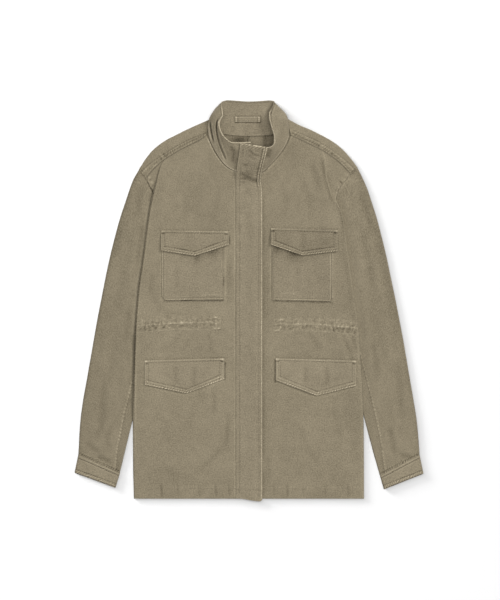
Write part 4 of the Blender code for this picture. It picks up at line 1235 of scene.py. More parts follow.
def places(length, step, dense=()):
    """Places 0..1 along a piece of that length, step apart, closer near each of
    dense = (place, reach, step there)."""
    x = np.linspace(0, length, 6000)
    density = np.full_like(x, 1 / step)
    for at, reach, fine in dense:
        density = np.maximum(density, (1 / fine) * (np.abs(x - at) < reach))
    total = np.concatenate([[0], np.cumsum((density[1:] + density[:-1]) / 2 * np.diff(x))])
    n = math.ceil(total[-1])
    return np.interp(np.linspace(0, total[-1], n + 1), total, x) / length


# ---------------------------------------------------------------- stitches
STITCHES = {}


def stitch_points(sheet, path, pitch, length, first=None, last=None):
    """(start, end, normal) of each stitch of a row that follows a chart path on a sheet's face,
    looked up among the face's columns first to last."""
    part = slice(first, last)
    chart = sheet.chart[part].reshape(-1, 2)
    face = sheet.face[part].reshape(-1, 3)
    up = sheet.normal[part].reshape(-1, 3)
    seen = up[:, 2] > 0.15
    chart, face, up = chart[seen], face[seen], up[seen]
    p = curved(path, 0.5)
    s = np.concatenate([[0], np.cumsum(np.hypot(*np.diff(p, axis=0).T))]) * MM
    n = int(s[-1] // pitch)
    out = []
    if n < 1:
        return out
    lo, hi = p.min(0) - 3, p.max(0) + 3
    box = np.nonzero(((chart > lo) & (chart < hi)).all(1))[0]
    chart, face, up = chart[box], face[box], up[box]
    starts = (s[-1] - n * pitch) / 2 + (pitch - length) / 2 + pitch * np.arange(n)
    for s0 in starts:
        ends = []
        for t in (s0, s0 + length):
            c = np.array([np.interp(t, s, p[:, 0]), np.interp(t, s, p[:, 1])])
            gap = ((chart - c) ** 2).sum(1)
            if gap.min() > 2.5:
                break
            k = np.argpartition(gap, 4)[:4]
            weight = 1 / (gap[k] + 0.02)
            weight /= weight.sum()
            x, y = (c[0] - COL0) * SQ, (ROW0 - c[1]) * SQ
            nz = np.maximum(up[k, 2], 0.3)
            z = face[k, 2] - (up[k, 0] * (x - face[k, 0]) + up[k, 1] * (y - face[k, 1])) / nz
            ends.append((np.array([x, y, (z * weight).sum()]), up[k[0]]))
        if len(ends) == 2:
            out.append((ends[0][0], ends[1][0], ends[0][1]))
    return out


def stitch_grid_points(sheet, us, vs, pitch, length):
    """The same for a row given by grid places (fractions of the sheet's columns and rows)."""
    nu, nv = sheet.face.shape[:2]

    def at(a, u, v):
        x, y = np.clip(u, 0, 1) * (nu - 1), np.clip(v, 0, 1) * (nv - 1)
        i, j = np.minimum(x.astype(int), nu - 2), np.minimum(y.astype(int), nv - 2)
        fx, fy = (x - i)[:, None], (y - j)[:, None]
        return (a[i, j] * (1 - fx) + a[i + 1, j] * fx) * (1 - fy) + (a[i, j + 1] * (1 - fx) + a[i + 1, j + 1] * fx) * fy

    line, up = at(sheet.face, us, vs), at(sheet.normal, us, vs)
    s = np.concatenate([[0], np.cumsum(np.linalg.norm(np.diff(line, axis=0), axis=1))]) * 1000
    n = int(s[-1] // pitch)
    out = []
    for k in range(n):
        t0 = (s[-1] - n * pitch) / 2 + (pitch - length) / 2 + pitch * k
        pick = lambda a, t: np.array([np.interp(t, s, a[:, i]) for i in range(3)])
        out.append((pick(line, t0), pick(line, t0 + length), pick(up, t0)))
    return out


def sew(group, items):
    STITCHES.setdefault(group, []).extend(items)


def make_stitches(name, items, thick=0.62, seed=2):
    """Threads as short rods with rounded ends, one joined mesh for a group of rows."""
    rng = np.random.default_rng(seed)
    sides = 5
    points, faces, count = [], [], 0
    ring = np.arange(sides) * 2 * math.pi / sides
    for a, b, up in items:
        along_ = b - a
        length = np.linalg.norm(along_)
        if length < 1e-6:
            continue
        along_ = along_ / length
        up = up / np.linalg.norm(up)
        across = np.cross(up, along_)
        across /= max(np.linalg.norm(across), 1e-9)
        up = np.cross(along_, across)
        r = thick / 2000 * rng.uniform(0.85, 1.15)
        lift = up * (r * 0.45)
        a, b = a + lift + across * rng.normal(0, 0.00006), b + lift + across * rng.normal(0, 0.00006)
        inset = min(0.0004, length * 0.3)
        rows = [a + along_ * inset + up * r * 0.2, b - along_ * inset + up * r * 0.2]
        points.append(a - up * r * 0.4)
        for c in rows:
            points += [c + (across * math.cos(t) + up * math.sin(t)) * r for t in ring]
        points.append(b - up * r * 0.4)
        first, last = count, count + 2 * sides + 1
        for i in range(sides):
            j = (i + 1) % sides
            p, q = count + 1 + i, count + 1 + j
            faces += [(first, q, p), (p, q, q + sides, p + sides), (p + sides, q + sides, last)]
        count += 2 * sides + 2
    points = np.array(points)
    quads4 = np.array([f for f in faces if len(f) == 4])
    tris = np.array([f for f in faces if len(f) == 3])
    uv = points[:, :2] * 1.0
    tone = np.random.default_rng(seed + 1).normal(0, 0.06, len(points))
    obj = make_mesh("stitches_" + name, points, [quads4, tris], uv, tone, "thread")
    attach(obj, "root")
    return obj


# ---------------------------------------------------------------- drape of the body and sleeves
# Soft creases, listed one by one: width in squares, depth in millimetres, tone (painted shade in
# the trough, light on its lips), path.
BODY_CREASES = [
    (3.8, 0.45, 0.08, [(190, 180), (187, 200), (184.5, 214), (182, 229)]),
    (3.6, 0.45, 0.08, [(221, 180), (217, 196), (214, 212), (208, 228)]),
    (4.2, 0.40, 0.07, [(204, 168), (198, 186), (195, 204), (196, 222)]),
    (2.4, 0.55, 0.14, [(213.8, 386), (213.4, 402), (214.8, 420)]),
    (2.2, 0.60, 0.18, [(228.0, 408), (227.4, 430), (225.5, 450)]),
    (3.8, 0.70, 0.14, [(228, 442), (212, 458), (192, 476)]),
    (5.0, 0.55, 0.10, [(150, 464), (164, 472), (182, 477)]),
    (4.2, 0.45, 0.07, [(200, 402), (186, 424), (166, 448)]),
    (2.8, 0.55, 0.14, [(267.2, 452), (268.0, 468), (266, 484)]),
    (4.2, 0.50, 0.08, [(298, 424), (306, 446), (320, 466)]),
    (3.8, 0.45, 0.07, [(330, 404), (338, 430), (341, 458)]),
    (2.2, 0.85, 0.22, [(340.5, 331), (345.5, 342), (351.5, 355)]),
    (2.0, 0.75, 0.20, [(351.0, 333), (354, 344), (357.5, 356)]),
    (2.8, 0.70, 0.16, [(308.5, 331), (315, 342), (324.5, 355)]),
    (2.8, 0.60, 0.12, [(180, 332), (172, 344), (158, 354)]),
    (2.6, 0.50, 0.12, [(206, 331), (210, 344), (209, 357)]),
    (3.8, 0.55, 0.09, [(298, 172), (308, 198), (313, 226)]),
    (3.6, 0.50, 0.08, [(280, 178), (285, 202), (284, 226)]),
    (3.8, 0.50, 0.08, [(148, 288), (158, 306), (174, 318)]),
    (3.6, 0.50, 0.08, [(351, 296), (342, 310), (326, 318)]),
    (3.4, 0.45, 0.07, [(228, 252), (226, 285), (228, 316)]),
    (3.4, 0.45, 0.07, [(268, 256), (266, 290), (267, 317)]),
    (3.8, 0.40, 0.06, [(252, 192), (247, 220), (251, 248)]),
    (4.0, 0.40, 0.06, [(246, 292), (251, 325), (247, 360)]),
    (2.9, 1.10, 0.38, [(320.0, 152), (322.6, 164), (325.8, 176), (328.8, 186), (331.6, 196), (334.4, 210)]),
    (3.4, 0.60, 0.12, [(311, 158), (314, 174), (319, 192)]),
    (1.5, 0.90, 0.50, [(341.6, 204), (342.6, 213), (344.4, 226)]),
]
SLEEVE_CREASES = {
    "r": [
        (3.4, 0.9, 0.16, [(138.5, 184), (139.2, 204), (136, 222)]),
        (2.6, 0.8, 0.18, [(143.0, 214), (140.8, 242), (136, 272)]),
        (4.0, 0.7, 0.10, [(130, 240), (122, 282), (114, 324)]),
        (3.4, 0.9, 0.14, [(104.5, 372), (102, 408), (98, 446)]),
        (4.2, 0.7, 0.09, [(121, 314), (112, 360), (105, 396)]),
        (2.4, 0.9, 0.28, [(95, 456.5), (103, 458.5), (112, 463.5)]),
        (2.6, 0.7, 0.20, [(86, 440), (92, 448), (102, 452)]),
        (3.0, 0.6, 0.18, [(130, 300), (127, 330), (124, 352)]),
        (3.2, 0.6, 0.16, [(112, 420), (108, 440), (106, 452)]),
        (4.2, 0.6, 0.14, [(124, 212), (118, 236), (113, 262)]),
    ],
    "l": [
        (2.8, 0.6, 0.06, [(348.2, 177), (349.8, 192), (351.8, 216)]),
        (3.4, 1.0, 0.18, [(358, 183), (364, 206), (375, 237)]),
        (4.0, 0.9, 0.13, [(373, 218), (380, 256), (388, 290), (394, 334)]),
        (3.4, 0.8, 0.12, [(360, 226), (368, 262), (374, 304)]),
        (4.0, 0.7, 0.10, [(370, 304), (380, 344), (390, 380)]),
        (3.6, 0.8, 0.12, [(395, 360), (400, 398), (402, 438)]),
        (2.2, 0.9, 0.28, [(398, 452.5), (406, 456.5), (414, 456)]),
        (3.0, 0.7, 0.20, [(388, 424), (392, 440), (394, 458)]),
        (3.0, 0.6, 0.16, [(371, 336), (375, 356), (379, 380)]),
    ],
}


# Broad soft patches of painted light (tone above zero) and painted shade (below zero): col,
# row, half width, half height, tone.
BODY_SHADES = [
    (230, 338, 9, 20, 0.10), (274, 344, 10, 24, 0.10), (318, 382, 22, 12, -0.13), (308, 484, 26, 9, 0.11),
    (356, 450, 5, 22, -0.10), (273, 446, 10, 28, 0.09), (173, 257, 12, 9, -0.11), (158, 184, 8, 12, -0.09),
    (324, 182, 8, 12, -0.09), (340, 306, 9, 16, -0.11), (146, 256, 5, 10, -0.08), (232, 232, 6, 30, 0.05),
    (211, 345, 10, 10, 0.06), (265, 222, 6, 24, -0.05), (356, 375, 6, 16, -0.05), (288, 372, 8, 8, -0.08),
    (170, 452, 16, 10, -0.05), (300, 346, 14, 8, 0.08), (164, 272, 12, 10, -0.05),
]
SLEEVE_SHADES = {
    "r": [(114, 440, 8, 18, 0.09), (102, 462, 10, 6, 0.06), (130, 286, 8, 14, -0.04)],
    "l": [
        (376, 395, 9, 44, 0.03), (366, 388, 3.5, 34, 0.09), (388, 452, 8, 14, 0.10), (370, 276, 8, 32, -0.08), (385, 285, 8, 12, -0.04),
        (350, 226, 5, 26, 0.08),
    ],
}


def shades(relief, table_):
    for col, row, wide, high, tone in table_:
        relief.add(0, tone * np.exp(-(((relief.col - col) / wide) ** 2) - ((relief.row - row) / high) ** 2))


def body_drape(relief):
    """Undulation of the laid body with its creases and broad patches of painted light and
    shade, shared by what lies on it.
    """
    c, r = relief.col, relief.row
    relief.add(
        0.42 * noise(c, r, 30, 1, 1.5, 6)
        + 0.26 * noise(c, r, 15, 2, 1.8, -14)
        + 0.12 * noise(c, r, 7, 3, 1.5, 20)
        + 0.04 * noise(c, r, 3.2, 4),
        0.05 * noise(c, r, 34, 8) + 0.03 * noise(c, r, 12, 9),
    )
    for width, depth, tone, path in BODY_CREASES:
        relief.crease(path, width, depth, 0.35, tone)
    shades(relief, BODY_SHADES)
    return relief


# ---------------------------------------------------------------- fronts
SEAM_ROWS = {  # stitched rows of the felled shoulder seams, from the neck to the tip
    "r": [(205.5, 133.6), (199, 135.6), (185.3, 141.5), (175, 147.2), (164.8, 153.6), (155, 160.0), (146, 166.9), (141.5, 171.2)],
    "l": [(295, 131.6), (303, 134.6), (320, 142.6), (336, 153.0), (352, 166.4), (354.5, 169.2)],
}
ARMHOLE = {
    "r": [(139.6, 170.8), (142.8, 174.8), (145.9, 178.9), (148.2, 183.6), (151.4, 189.6), (154.8, 197)],
    "l": [(356.2, 168.8), (351, 175.0), (347.5, 179.2), (344, 183.0), (340.4, 187.8), (336.8, 194.8)],
}
WAIST = {  # top row, drawn-in line and lower row of the waist channel, from the side to its end bar
    "r": (
        [(137.6, 321.5), (158, 319.9), (179, 318.9), (213.5, 318.0)],
        [(137.2, 326.0), (158, 324.8), (179, 323.6), (213.5, 322.6)],
        [(136.8, 333.0), (152.7, 330.8), (175, 329.8), (214.0, 329.2)],
    ),
    "l": (
        [(357.6, 321.0), (335, 319.6), (311, 318.8), (277.5, 318.4)],
        [(358.4, 328.6), (332, 326.4), (311, 324.6), (278.0, 324.4)],
        [(358.8, 334.4), (335, 332.6), (311, 331.0), (277.5, 330.6)],
    ),
}
BARS = {"r": ((215.2, 220.3), 318.0, 330.0), "l": ((274.6, 280.0), 319.0, 331.2)}
HEM_ROW = 488.6


# the drawn-in cloth of the channels: swellings that stand proud, and the dents between them;
# waist() gives the swellings painted light and the dents painted shade
GATHER = {
    "r": (
        [
            (137.6, 327.2, 1.6, 1.3, 0, 1.0), (141.0, 326.4, 1.2, 1.0, 0, 0.8), (143.6, 321.9, 1.3, 1.0, 60, 0.7),
            (146.8, 326.4, 1.6, 0.8, 80, 0.8), (148.9, 325.2, 1.0, 1.0, 0, 0.8), (152.4, 323.6, 1.4, 0.8, -20, 0.6),
            (155.2, 325.0, 1.2, 0.9, 60, 0.8), (159.6, 326.0, 1.2, 0.9, 90, 0.7), (161.6, 327.6, 0.8, 0.8, 0, 0.7),
            (163.4, 322.2, 1.8, 0.8, -10, 0.8), (167.4, 324.4, 1.2, 0.8, 70, 0.6), (172.0, 323.2, 2.2, 0.8, -8, 0.9),
            (176.4, 323.6, 0.9, 0.8, 0, 0.5), (181.6, 323.2, 3.0, 0.8, -3, 0.9), (189.6, 323.0, 3.4, 0.85, -2, 1.0),
            (198.8, 322.9, 1.8, 0.8, 0, 0.7), (206.0, 323.0, 2.0, 0.8, 0, 0.8), (210.6, 323.3, 1.5, 0.8, 0, 0.8),
            (163.6, 318.7, 2.4, 0.7, -6, 0.5), (184.0, 319.2, 4.2, 0.8, 3, 0.35), (206.4, 318.6, 2.6, 0.7, 0, 0.35),
            (137.2, 333.4, 1.2, 0.8, -15, 0.9), (143.0, 332.4, 4.4, 0.7, -9, 0.6), (152.0, 331.0, 1.8, 0.7, -9, 0.4),
            (184.5, 329.4, 8.5, 0.7, 1, 0.5), (140.2, 322.4, 0.9, 1.1, 0, 0.6), (150.6, 320.2, 1.6, 0.7, -10, 0.35),
            (195.2, 319.0, 1.4, 0.7, 0, 0.3), (169.6, 319.8, 0.9, 0.9, 30, 0.4), (178.6, 320.6, 0.9, 1.0, 60, 0.35),
        ],
        [
            (140.4, 329.0, 2.2, 0.9, -15, 0.7), (145.6, 328.6, 1.2, 1.6, 15, 1.0), (149.6, 328.6, 1.4, 1.4, 0, 1.0),
            (151.2, 325.6, 0.9, 0.9, 0, 0.7), (155.6, 328.3, 1.6, 1.3, 10, 1.0), (158.2, 323.4, 0.9, 0.8, 0, 0.5),
            (164.2, 327.2, 1.7, 1.1, -20, 1.0), (169.4, 326.0, 1.1, 0.9, 0, 0.9), (175.2, 325.4, 1.1, 0.9, 0, 0.8),
            (181.8, 325.8, 2.4, 1.1, 0, 1.0), (186.6, 325.4, 0.9, 0.8, 0, 0.5), (192.2, 325.7, 2.0, 1.0, 0, 1.0),
            (203.4, 325.2, 1.0, 1.0, 0, 0.8), (210.8, 325.2, 1.3, 0.9, 0, 0.7), (200.0, 320.8, 6.0, 0.9, 0, 0.2),
            (172.0, 320.9, 3.0, 0.9, 0, 0.3), (144.8, 324.2, 1.0, 0.8, 0, 0.5), (160.9, 324.0, 0.9, 0.9, 0, 0.5),
            (138.6, 324.4, 1.0, 0.8, 0, 0.5), (198.0, 325.4, 1.2, 0.8, 0, 0.4),
        ],
    ),
    "l": (
        [
            (287.2, 324.6, 3.2, 0.8, 0, 1.0), (295.8, 324.6, 3.4, 0.8, 0, 0.95), (304.0, 325.0, 3.0, 0.8, 2, 0.6),
            (309.4, 325.6, 1.0, 0.8, 0, 0.5), (318.2, 325.4, 1.8, 0.8, 5, 0.6), (323.2, 326.0, 1.2, 1.0, 20, 0.6),
            (331.6, 320.6, 2.4, 0.8, 0, 0.7), (334.2, 325.0, 1.2, 0.9, 70, 0.9), (338.6, 326.2, 1.2, 1.0, 0, 0.9),
            (342.4, 326.4, 1.1, 1.0, 0, 0.9), (346.8, 326.5, 2.0, 1.0, 5, 1.0), (351.6, 323.4, 1.2, 0.9, 70, 0.9),
            (351.6, 327.8, 1.2, 0.9, 0, 0.8), (355.4, 328.4, 1.8, 1.0, 0, 1.0), (356.6, 323.0, 0.8, 1.2, 0, 0.7),
            (331.4, 328.2, 1.4, 0.8, 75, 0.8), (336.0, 331.0, 1.4, 0.8, 80, 0.8), (344.2, 331.6, 1.6, 0.8, -80, 0.8),
            (349.4, 333.0, 1.4, 0.8, 90, 0.8), (354.0, 334.9, 3.2, 0.8, 10, 0.9), (345.0, 334.3, 3.0, 0.7, 8, 0.6),
            (299.4, 329.1, 3.4, 0.7, 0, 0.6), (311.4, 330.8, 2.6, 0.7, 0, 0.6), (326.4, 331.4, 4.4, 0.8, 2, 0.7),
            (337.4, 321.6, 1.2, 0.8, 30, 0.5), (318.6, 321.0, 1.6, 0.8, 0, 0.35), (345.4, 321.8, 1.4, 0.7, 10, 0.5),
            (289.4, 320.2, 1.8, 0.7, 0, 0.45), (299.6, 320.4, 1.0, 0.9, 60, 0.4),
        ],
        [
            (286.2, 326.8, 2.0, 0.8, 0, 0.7), (290.6, 328.2, 1.0, 1.1, 0, 0.8), (295.6, 327.2, 1.6, 0.9, 0, 0.9),
            (303.8, 327.2, 1.5, 1.1, 0, 1.0), (300.4, 321.6, 1.0, 1.0, 0, 0.5), (313.6, 328.0, 2.2, 0.9, 0, 0.7),
            (321.0, 321.8, 1.2, 1.4, 0, 0.4), (324.6, 328.6, 1.6, 0.9, 0, 0.9), (329.2, 329.4, 1.6, 1.2, 0, 1.0),
            (333.6, 329.4, 1.0, 1.8, 15, 1.0), (338.0, 329.2, 1.3, 1.3, 30, 1.0), (340.2, 328.2, 0.9, 1.1, 0, 0.9),
            (342.4, 330.0, 0.9, 1.7, 0, 0.9), (346.4, 330.4, 1.1, 1.8, 10, 1.0), (349.6, 329.6, 1.0, 1.1, 0, 1.0),
            (351.9, 331.2, 0.9, 1.7, 0, 1.0), (354.2, 325.8, 1.0, 0.9, 0, 0.8), (356.2, 331.8, 1.2, 1.2, 0, 0.9),
            (342.0, 323.8, 1.4, 0.8, 0, 0.6), (348.2, 323.4, 1.1, 0.9, 0, 0.6), (336.6, 323.6, 1.0, 0.8, 0, 0.5),
            (284.6, 322.0, 1.6, 0.8, 0, 0.4), (308.4, 328.6, 1.2, 0.8, 0, 0.5),
        ],
    ),
}
BAR_TICKS = {
    "r": [
        (215.6, 317.5, 1.7, 0.7, 0, 1.0), (219.8, 318.3, 1.1, 0.7, 0, 0.7), (214.8, 328.4, 1.3, 0.7, 0, 0.8),
        (218.6, 328.4, 1.6, 0.7, 0, 1.0), (216.0, 320.6, 0.7, 1.0, 0, 0.7), (216.2, 323.4, 0.7, 1.2, 0, 0.7),
        (216.4, 326.2, 0.6, 1.0, 0, 0.6), (220.2, 320.8, 0.6, 1.0, 0, 0.6), (220.0, 323.8, 0.6, 1.2, 0, 0.6),
        (219.8, 326.4, 0.6, 1.0, 0, 0.6),
    ],
    "l": [
        (281.4, 319.7, 2.2, 0.7, 0, 1.0), (280.6, 323.0, 0.7, 1.4, 0, 0.8), (280.4, 327.0, 0.7, 1.6, 0, 0.8),
        (276.6, 330.5, 2.2, 0.7, 0, 1.0), (275.2, 319.5, 0.9, 0.6, 0, 0.6), (279.6, 329.6, 0.8, 0.8, 0, 0.6),
    ],
}


PLEATS = {  # place along the line, reach to each side, slant, strength
    "r": [
        (3.5, 4.0, 0.3, 0.9), (8.0, 5.0, -0.2, 1.0), (11.5, 4.0, 0.4, 0.9), (16.0, 5.5, 0.2, 1.0), (20.5, 4.5, -0.4, 0.8),
        (25.0, 5.0, 0.3, 1.0), (30.5, 4.0, 0.1, 0.7), (36.5, 3.5, -0.3, 0.6), (43.0, 4.0, 0.2, 0.7), (52.0, 3.5, 0.4, 0.6),
        (60.0, 3.0, -0.2, 0.5), (67.5, 3.5, 0.3, 0.5), (72.0, 3.0, 0.1, 0.5),
    ],
    "l": [
        (2.5, 5.5, -0.3, 1.0), (5.8, 5.0, 0.2, 1.0), (9.0, 5.5, -0.4, 1.0), (12.2, 5.0, 0.3, 0.9), (15.0, 5.5, -0.2, 1.0),
        (18.6, 5.0, 0.4, 1.0), (22.0, 4.5, -0.3, 0.9), (26.0, 5.0, 0.3, 0.9), (30.5, 4.0, 0.1, 0.7), (37.0, 3.5, -0.3, 0.5),
        (44.0, 4.0, 0.3, 0.6), (51.5, 3.5, -0.2, 0.6), (58.0, 4.0, 0.3, 0.7), (64.5, 3.5, -0.3, 0.7), (70.0, 3.5, 0.2, 0.6),
    ],
}


def band_share(path, col, row, half=7.0):
    """1 near a path, 0 away from it."""
    out = np.zeros(col.shape)
    index, d, s, total = near(curved(path), col, row, half * 2)
    out.reshape(-1)[index] = 1 / (1 + (np.abs(d) / half) ** 6)
    return out


def waist(relief, side):
    top, middle, low = WAIST[side]
    c = relief.col
    # the channel's own cloth, doubled and drawn up, with painted light and shade following its gathers
    index, d, s, total = near(curved(middle), c, relief.row, 9)
    band = 1 / (1 + (np.abs(d) / 5.6) ** 8)
    gather = noise(s + 0.35 * d, d * 0.3, 2.6, 31 + ord(side)) + 0.6 * noise(s - 0.5 * d, d * 0.3, 1.5, 37)
    strength = 0.55 + 0.45 * noise(s, s * 0, 22, 41 + ord(side))
    relief._put(index, band * (0.40 + 0.60 * gather * strength), band * 0.12 * gather * strength)
    relief.pucker(top, 4.2, 0.45, 4.4, 0.4, 51, side=0, tone=0.07)
    relief.pucker(low, 5.0, 0.50, 5.4, 0.3, 53, side=0, tone=0.07)
    relief.line([(a, b - 0.6) for a, b in middle], 0.6, -0.10, 0.24, beads=0.8, pitch=2.4, seed=61)
    relief.line([(a, b + 1.0) for a, b in middle], 0.8, 0.30, -0.16, beads=0.6, pitch=3.4, seed=62)
    relief.line(top, 0.6, 0.20, 0.10, beads=0.8, pitch=2.3, seed=65)
    relief.line(low, 0.6, 0.25, 0.12, beads=0.8, pitch=2.3, seed=67)
    # fine ripples along the channel, with painted light and shade following their height
    fine = noise(c, relief.row, 1.5, 69 + ord(side)) * band_share(middle, c, relief.row)
    relief.add(0.18 * fine, 0.32 * fine)
    proud, sunk = GATHER[side]
    relief.spots(proud, 0.40, 0.36)
    relief.spots(sunk, -0.50, -0.42)
    relief.spots(BAR_TICKS[side], 0.30, 0.80)
    shade = [(c0 + 0.4, r0 + 1.4, a, b, t, k) for c0, r0, a, b, t, k in BAR_TICKS[side] if a > b]
    relief.spots(shade, -0.2, -0.40)
    # fine pleats fanning out of the drawn-in line, each with painted shade on one side and painted light on the other
    for k, (at, reach, slant, force) in enumerate(PLEATS[side]):
        index, d, s, total = near(curved(middle), c, relief.row, 9)
        x = (s - at - slant * d) / 0.9
        bell = np.exp(-(x**2)) * np.exp(-((np.abs(d) / reach) ** 2.5))
        lit = np.exp(-((x - 1.6) ** 2)) * np.exp(-((np.abs(d) / reach) ** 2.5))
        relief._put(index, force * 0.4 * (lit - bell), force * (0.22 * lit - 0.22 * bell))


def hem(relief):
    c, r = relief.col, relief.row
    below = ease((r - HEM_ROW) / 1.4)
    relief.add(0.40 * below)
    relief.line([(130, HEM_ROW), (368, HEM_ROW + 0.2)], 0.85, 0.40, -0.06, beads=0.4, pitch=2.5, seed=71)
    relief.line([(130, HEM_ROW - 1.2), (368, HEM_ROW - 1.0)], 0.7, -0.12, 0.12, beads=0.7, pitch=2.5, seed=72)
    # the turned-up hem twists a little between its stitches and the edge, with painted light and shade following the
    # twist
    twist = noise(c + 0.9 * (r - HEM_ROW), r * 0.2, 3.4, 73) * (0.6 + 0.5 * noise(c, r * 0, 26, 74))
    relief.add(0.34 * below * twist, 0.10 * below * twist)
    relief.pucker([(130, HEM_ROW), (368, HEM_ROW)], 4.0, 0.28, 5.0, 0.5, 75, tone=0.05)
    for col, depth in ((161.3, 0.9), (178, 0.4), (199, 0.4), (215.5, 0.6), (229, 0.4), (274, 0.4), (287, 0.9), (303, 0.4), (325, 0.4), (348, 0.6)):
        relief.crease([(col - 0.8, HEM_ROW - 6), (col, HEM_ROW), (col + 0.6, 498)], 1.1, depth, 0.4, 0.42 * depth, ends=0.25)


def front_relief(side, grid, upper):
    c, r = grid[..., 0], grid[..., 1]
    rel = body_drape(Relief(c, r))
    waist(rel, side)
    hem(rel)
    out = OUT[side]
    # felled shoulder seam: the front's own edge sinks into it, with painted shade in the groove
    seam = [(float(a), float(b)) for a, b in zip(*along(SHOULDER[side], np.linspace(0, 1, 14)))]
    rel.line(seam, 0.7, 0.30, -0.26, beads=0.5, pitch=2.5, seed=81)
    rel.pucker(seam, 5.0, 0.30, 4.6, 0.4, 82, tone=0.05)
    neck = [(float(a), float(b)) for a, b in zip(*along(NECK[side], np.linspace(0, 1, 14)))]
    rel.pucker(neck, 6.0, 0.40, 5.5, 0.3, 83, tone=0.05)
    # painted light along the neck seam; on the right front a narrow line of it lifts the shade at the collar's foot,
    # with faint painted shade around it
    rel.line(neck, 2.4 if side == "r" else 1.3, 0.0, -0.08 if side == "r" else 0.22, beads=0.2, seed=84)
    if side == "r":
        rel.line(neck, 0.9, 0.0, 0.62, beads=0.5, pitch=3.0, seed=484)
    rel.spots([(291.0, 134.0, 2.2, 1.6, 60, 1.0)], 0.0, 0.40)
    beside = [(a - out * 2.3, b + 0.6) for a, b in ARMHOLE[side]]
    rel.rope(beside, 1.7, 0.40, 0.20, pitch=3.1, slant=0.3, seed=85)
    if side == "r":
        rel.spots([(149.4, 177.4, 1.6, 1.3, 40, 1.0), (152.2, 183.0, 1.6, 1.2, 50, 0.9), (148.6, 181.2, 1.4, 0.8, 50, 0.6), (153.2, 188.4, 1.6, 1.0, 55, 0.8), (150.8, 186.6, 1.4, 0.7, 55, 0.7), (146.6, 174.0, 1.5, 1.1, 40, 0.9)], 0.2, 0.55)
        rel.spots([(150.4, 179.8, 1.6, 0.6, -40, 0.8), (152.6, 185.6, 1.6, 0.6, -35, 0.7), (147.4, 176.0, 1.5, 0.5, -40, 0.7), (151.2, 190.6, 2.0, 0.6, 60, 0.8)], -0.3, -0.7)
    else:
        rel.spots([(347.0, 175.4, 1.5, 1.2, -42, 0.9), (343.8, 180.2, 1.6, 1.3, -45, 1.0), (341.6, 178.4, 1.4, 0.7, -45, 0.6), (338.6, 187.6, 1.6, 1.0, -60, 0.8), (337.2, 192.4, 1.4, 0.9, -65, 0.8), (344.8, 173.6, 1.4, 0.7, -42, 0.6)], 0.2, 0.38)
        rel.spots([(341.0, 182.2, 2.2, 0.6, 40, 1.0), (343.0, 184.4, 1.8, 0.6, -50, 0.8), (346.2, 178.4, 1.6, 0.5, 40, 0.7), (339.4, 190.2, 1.6, 0.5, 35, 0.7), (336.2, 190.0, 2.4, 0.5, -62, 0.7), (348.6, 177.0, 1.8, 0.5, -45, 0.6)], -0.3, -0.7)
    rel.pucker(beside, 3.0, 0.25, 4.0, 0.3, 86, tone=0.03)
    if side == "r":
        rel.crease([(232, 250), (229.5, 268), (229, 292)], 2.6, 0.4, 0.3, 0.12)
        rel.crease([(153, 268), (150.5, 285), (150, 300)], 2.4, 0.5, 0.3, 0.14)
    else:
        rel.crease([(350.5, 346), (352, 362), (354.5, 380)], 1.8, 0.5, 0.3, 0.16)
    # pockets and flaps press their outline a little into the cloth below, with painted shade in those grooves, painted
    # light beside the pockets' sides and below the lower flaps, and faint painted shade below the chest flaps
    for i in range(2):
        q = {k: a[i] for k, a in POCKETS.items()}
        low, high = [(q["low_col"] - 0.8, q["low_top"]), (q["low_col"] - 0.8, q["low_bottom"] - 1)], [(q["high_col"] + 0.8, q["high_bottom"] - 1), (q["high_col"] + 0.8, q["high_top"])]
        under = [(q["low_col"] + 1, q["low_bottom"] + 0.8), (q["high_col"] - 1, q["high_bottom"] + 0.8)]
        rel.line(low, 1.4, 0.0, 0.30 if i else 0.22, seed=87)
        rel.line(high, 1.4, 0.0, 0.12 if i else 0.26, seed=87)
        rel.line(under, 0.7, 0.30, -0.40, beads=0.5, pitch=3.0, seed=187)
        rel.pucker(under, 4.0, 0.30, 5.0, 0.3, 88 + i, tone=0.05)
        rel.pucker(low, 4.0, 0.25, 5.0, 0.3, 188 + i, tone=0.04)
        rel.pucker(high, 4.0, 0.25, 5.0, 0.3, 288 + i, tone=0.04)
    for i in range(4):
        f = {k: a[i] for k, a in FLAPS.items()}
        rel.line([(f["low_col"], f["low_top"] - 0.9), (f["high_col"], f["high_top"] - 0.9)], 0.7, 0.25, -0.16, beads=0.4, seed=90 + i)
        rel.pucker([(f["low_col"], f["low_top"] - 1), (f["high_col"], f["high_top"] - 1)], 4.0, 0.28, 4.6, 0.3, 94 + i, tone=0.05)
        fall = [(f["low_col"], f["low_bottom"] + 1), (f["tip_col"], f["tip_row"] + 1), (f["high_col"], f["high_bottom"] + 1)]
        rel.line(fall, 1.5, 0.0, 0.16 if i > 1 else -0.05, seed=98)
    # painted shadows beside the flaps' edges, and a little painted light beside the lower flaps' outer edges
    if side == "r":
        rel.line([(229.4, 236.2), (229.6, 243.6)], 0.7, 0.0, -0.8, seed=191)
        rel.line([(224.9, 363), (224.9, 379.5)], 0.8, 0.0, -0.8, seed=192)
        rel.line([(143.8, 362), (144.2, 384)], 1.3, 0.0, 0.20, seed=292)
    else:
        rel.line([(270.2, 233), (270.2, 243.0)], 0.7, 0.0, -0.25, seed=193)
        rel.line([(337.6, 235), (337.6, 244)], 0.7, 0.0, -0.35, seed=194)
        rel.line([(275.2, 360), (275.2, 382)], 0.8, 0.0, -0.6, seed=195)
        rel.line([(357.0, 362), (356.8, 385)], 1.3, 0.0, 0.08, seed=295)
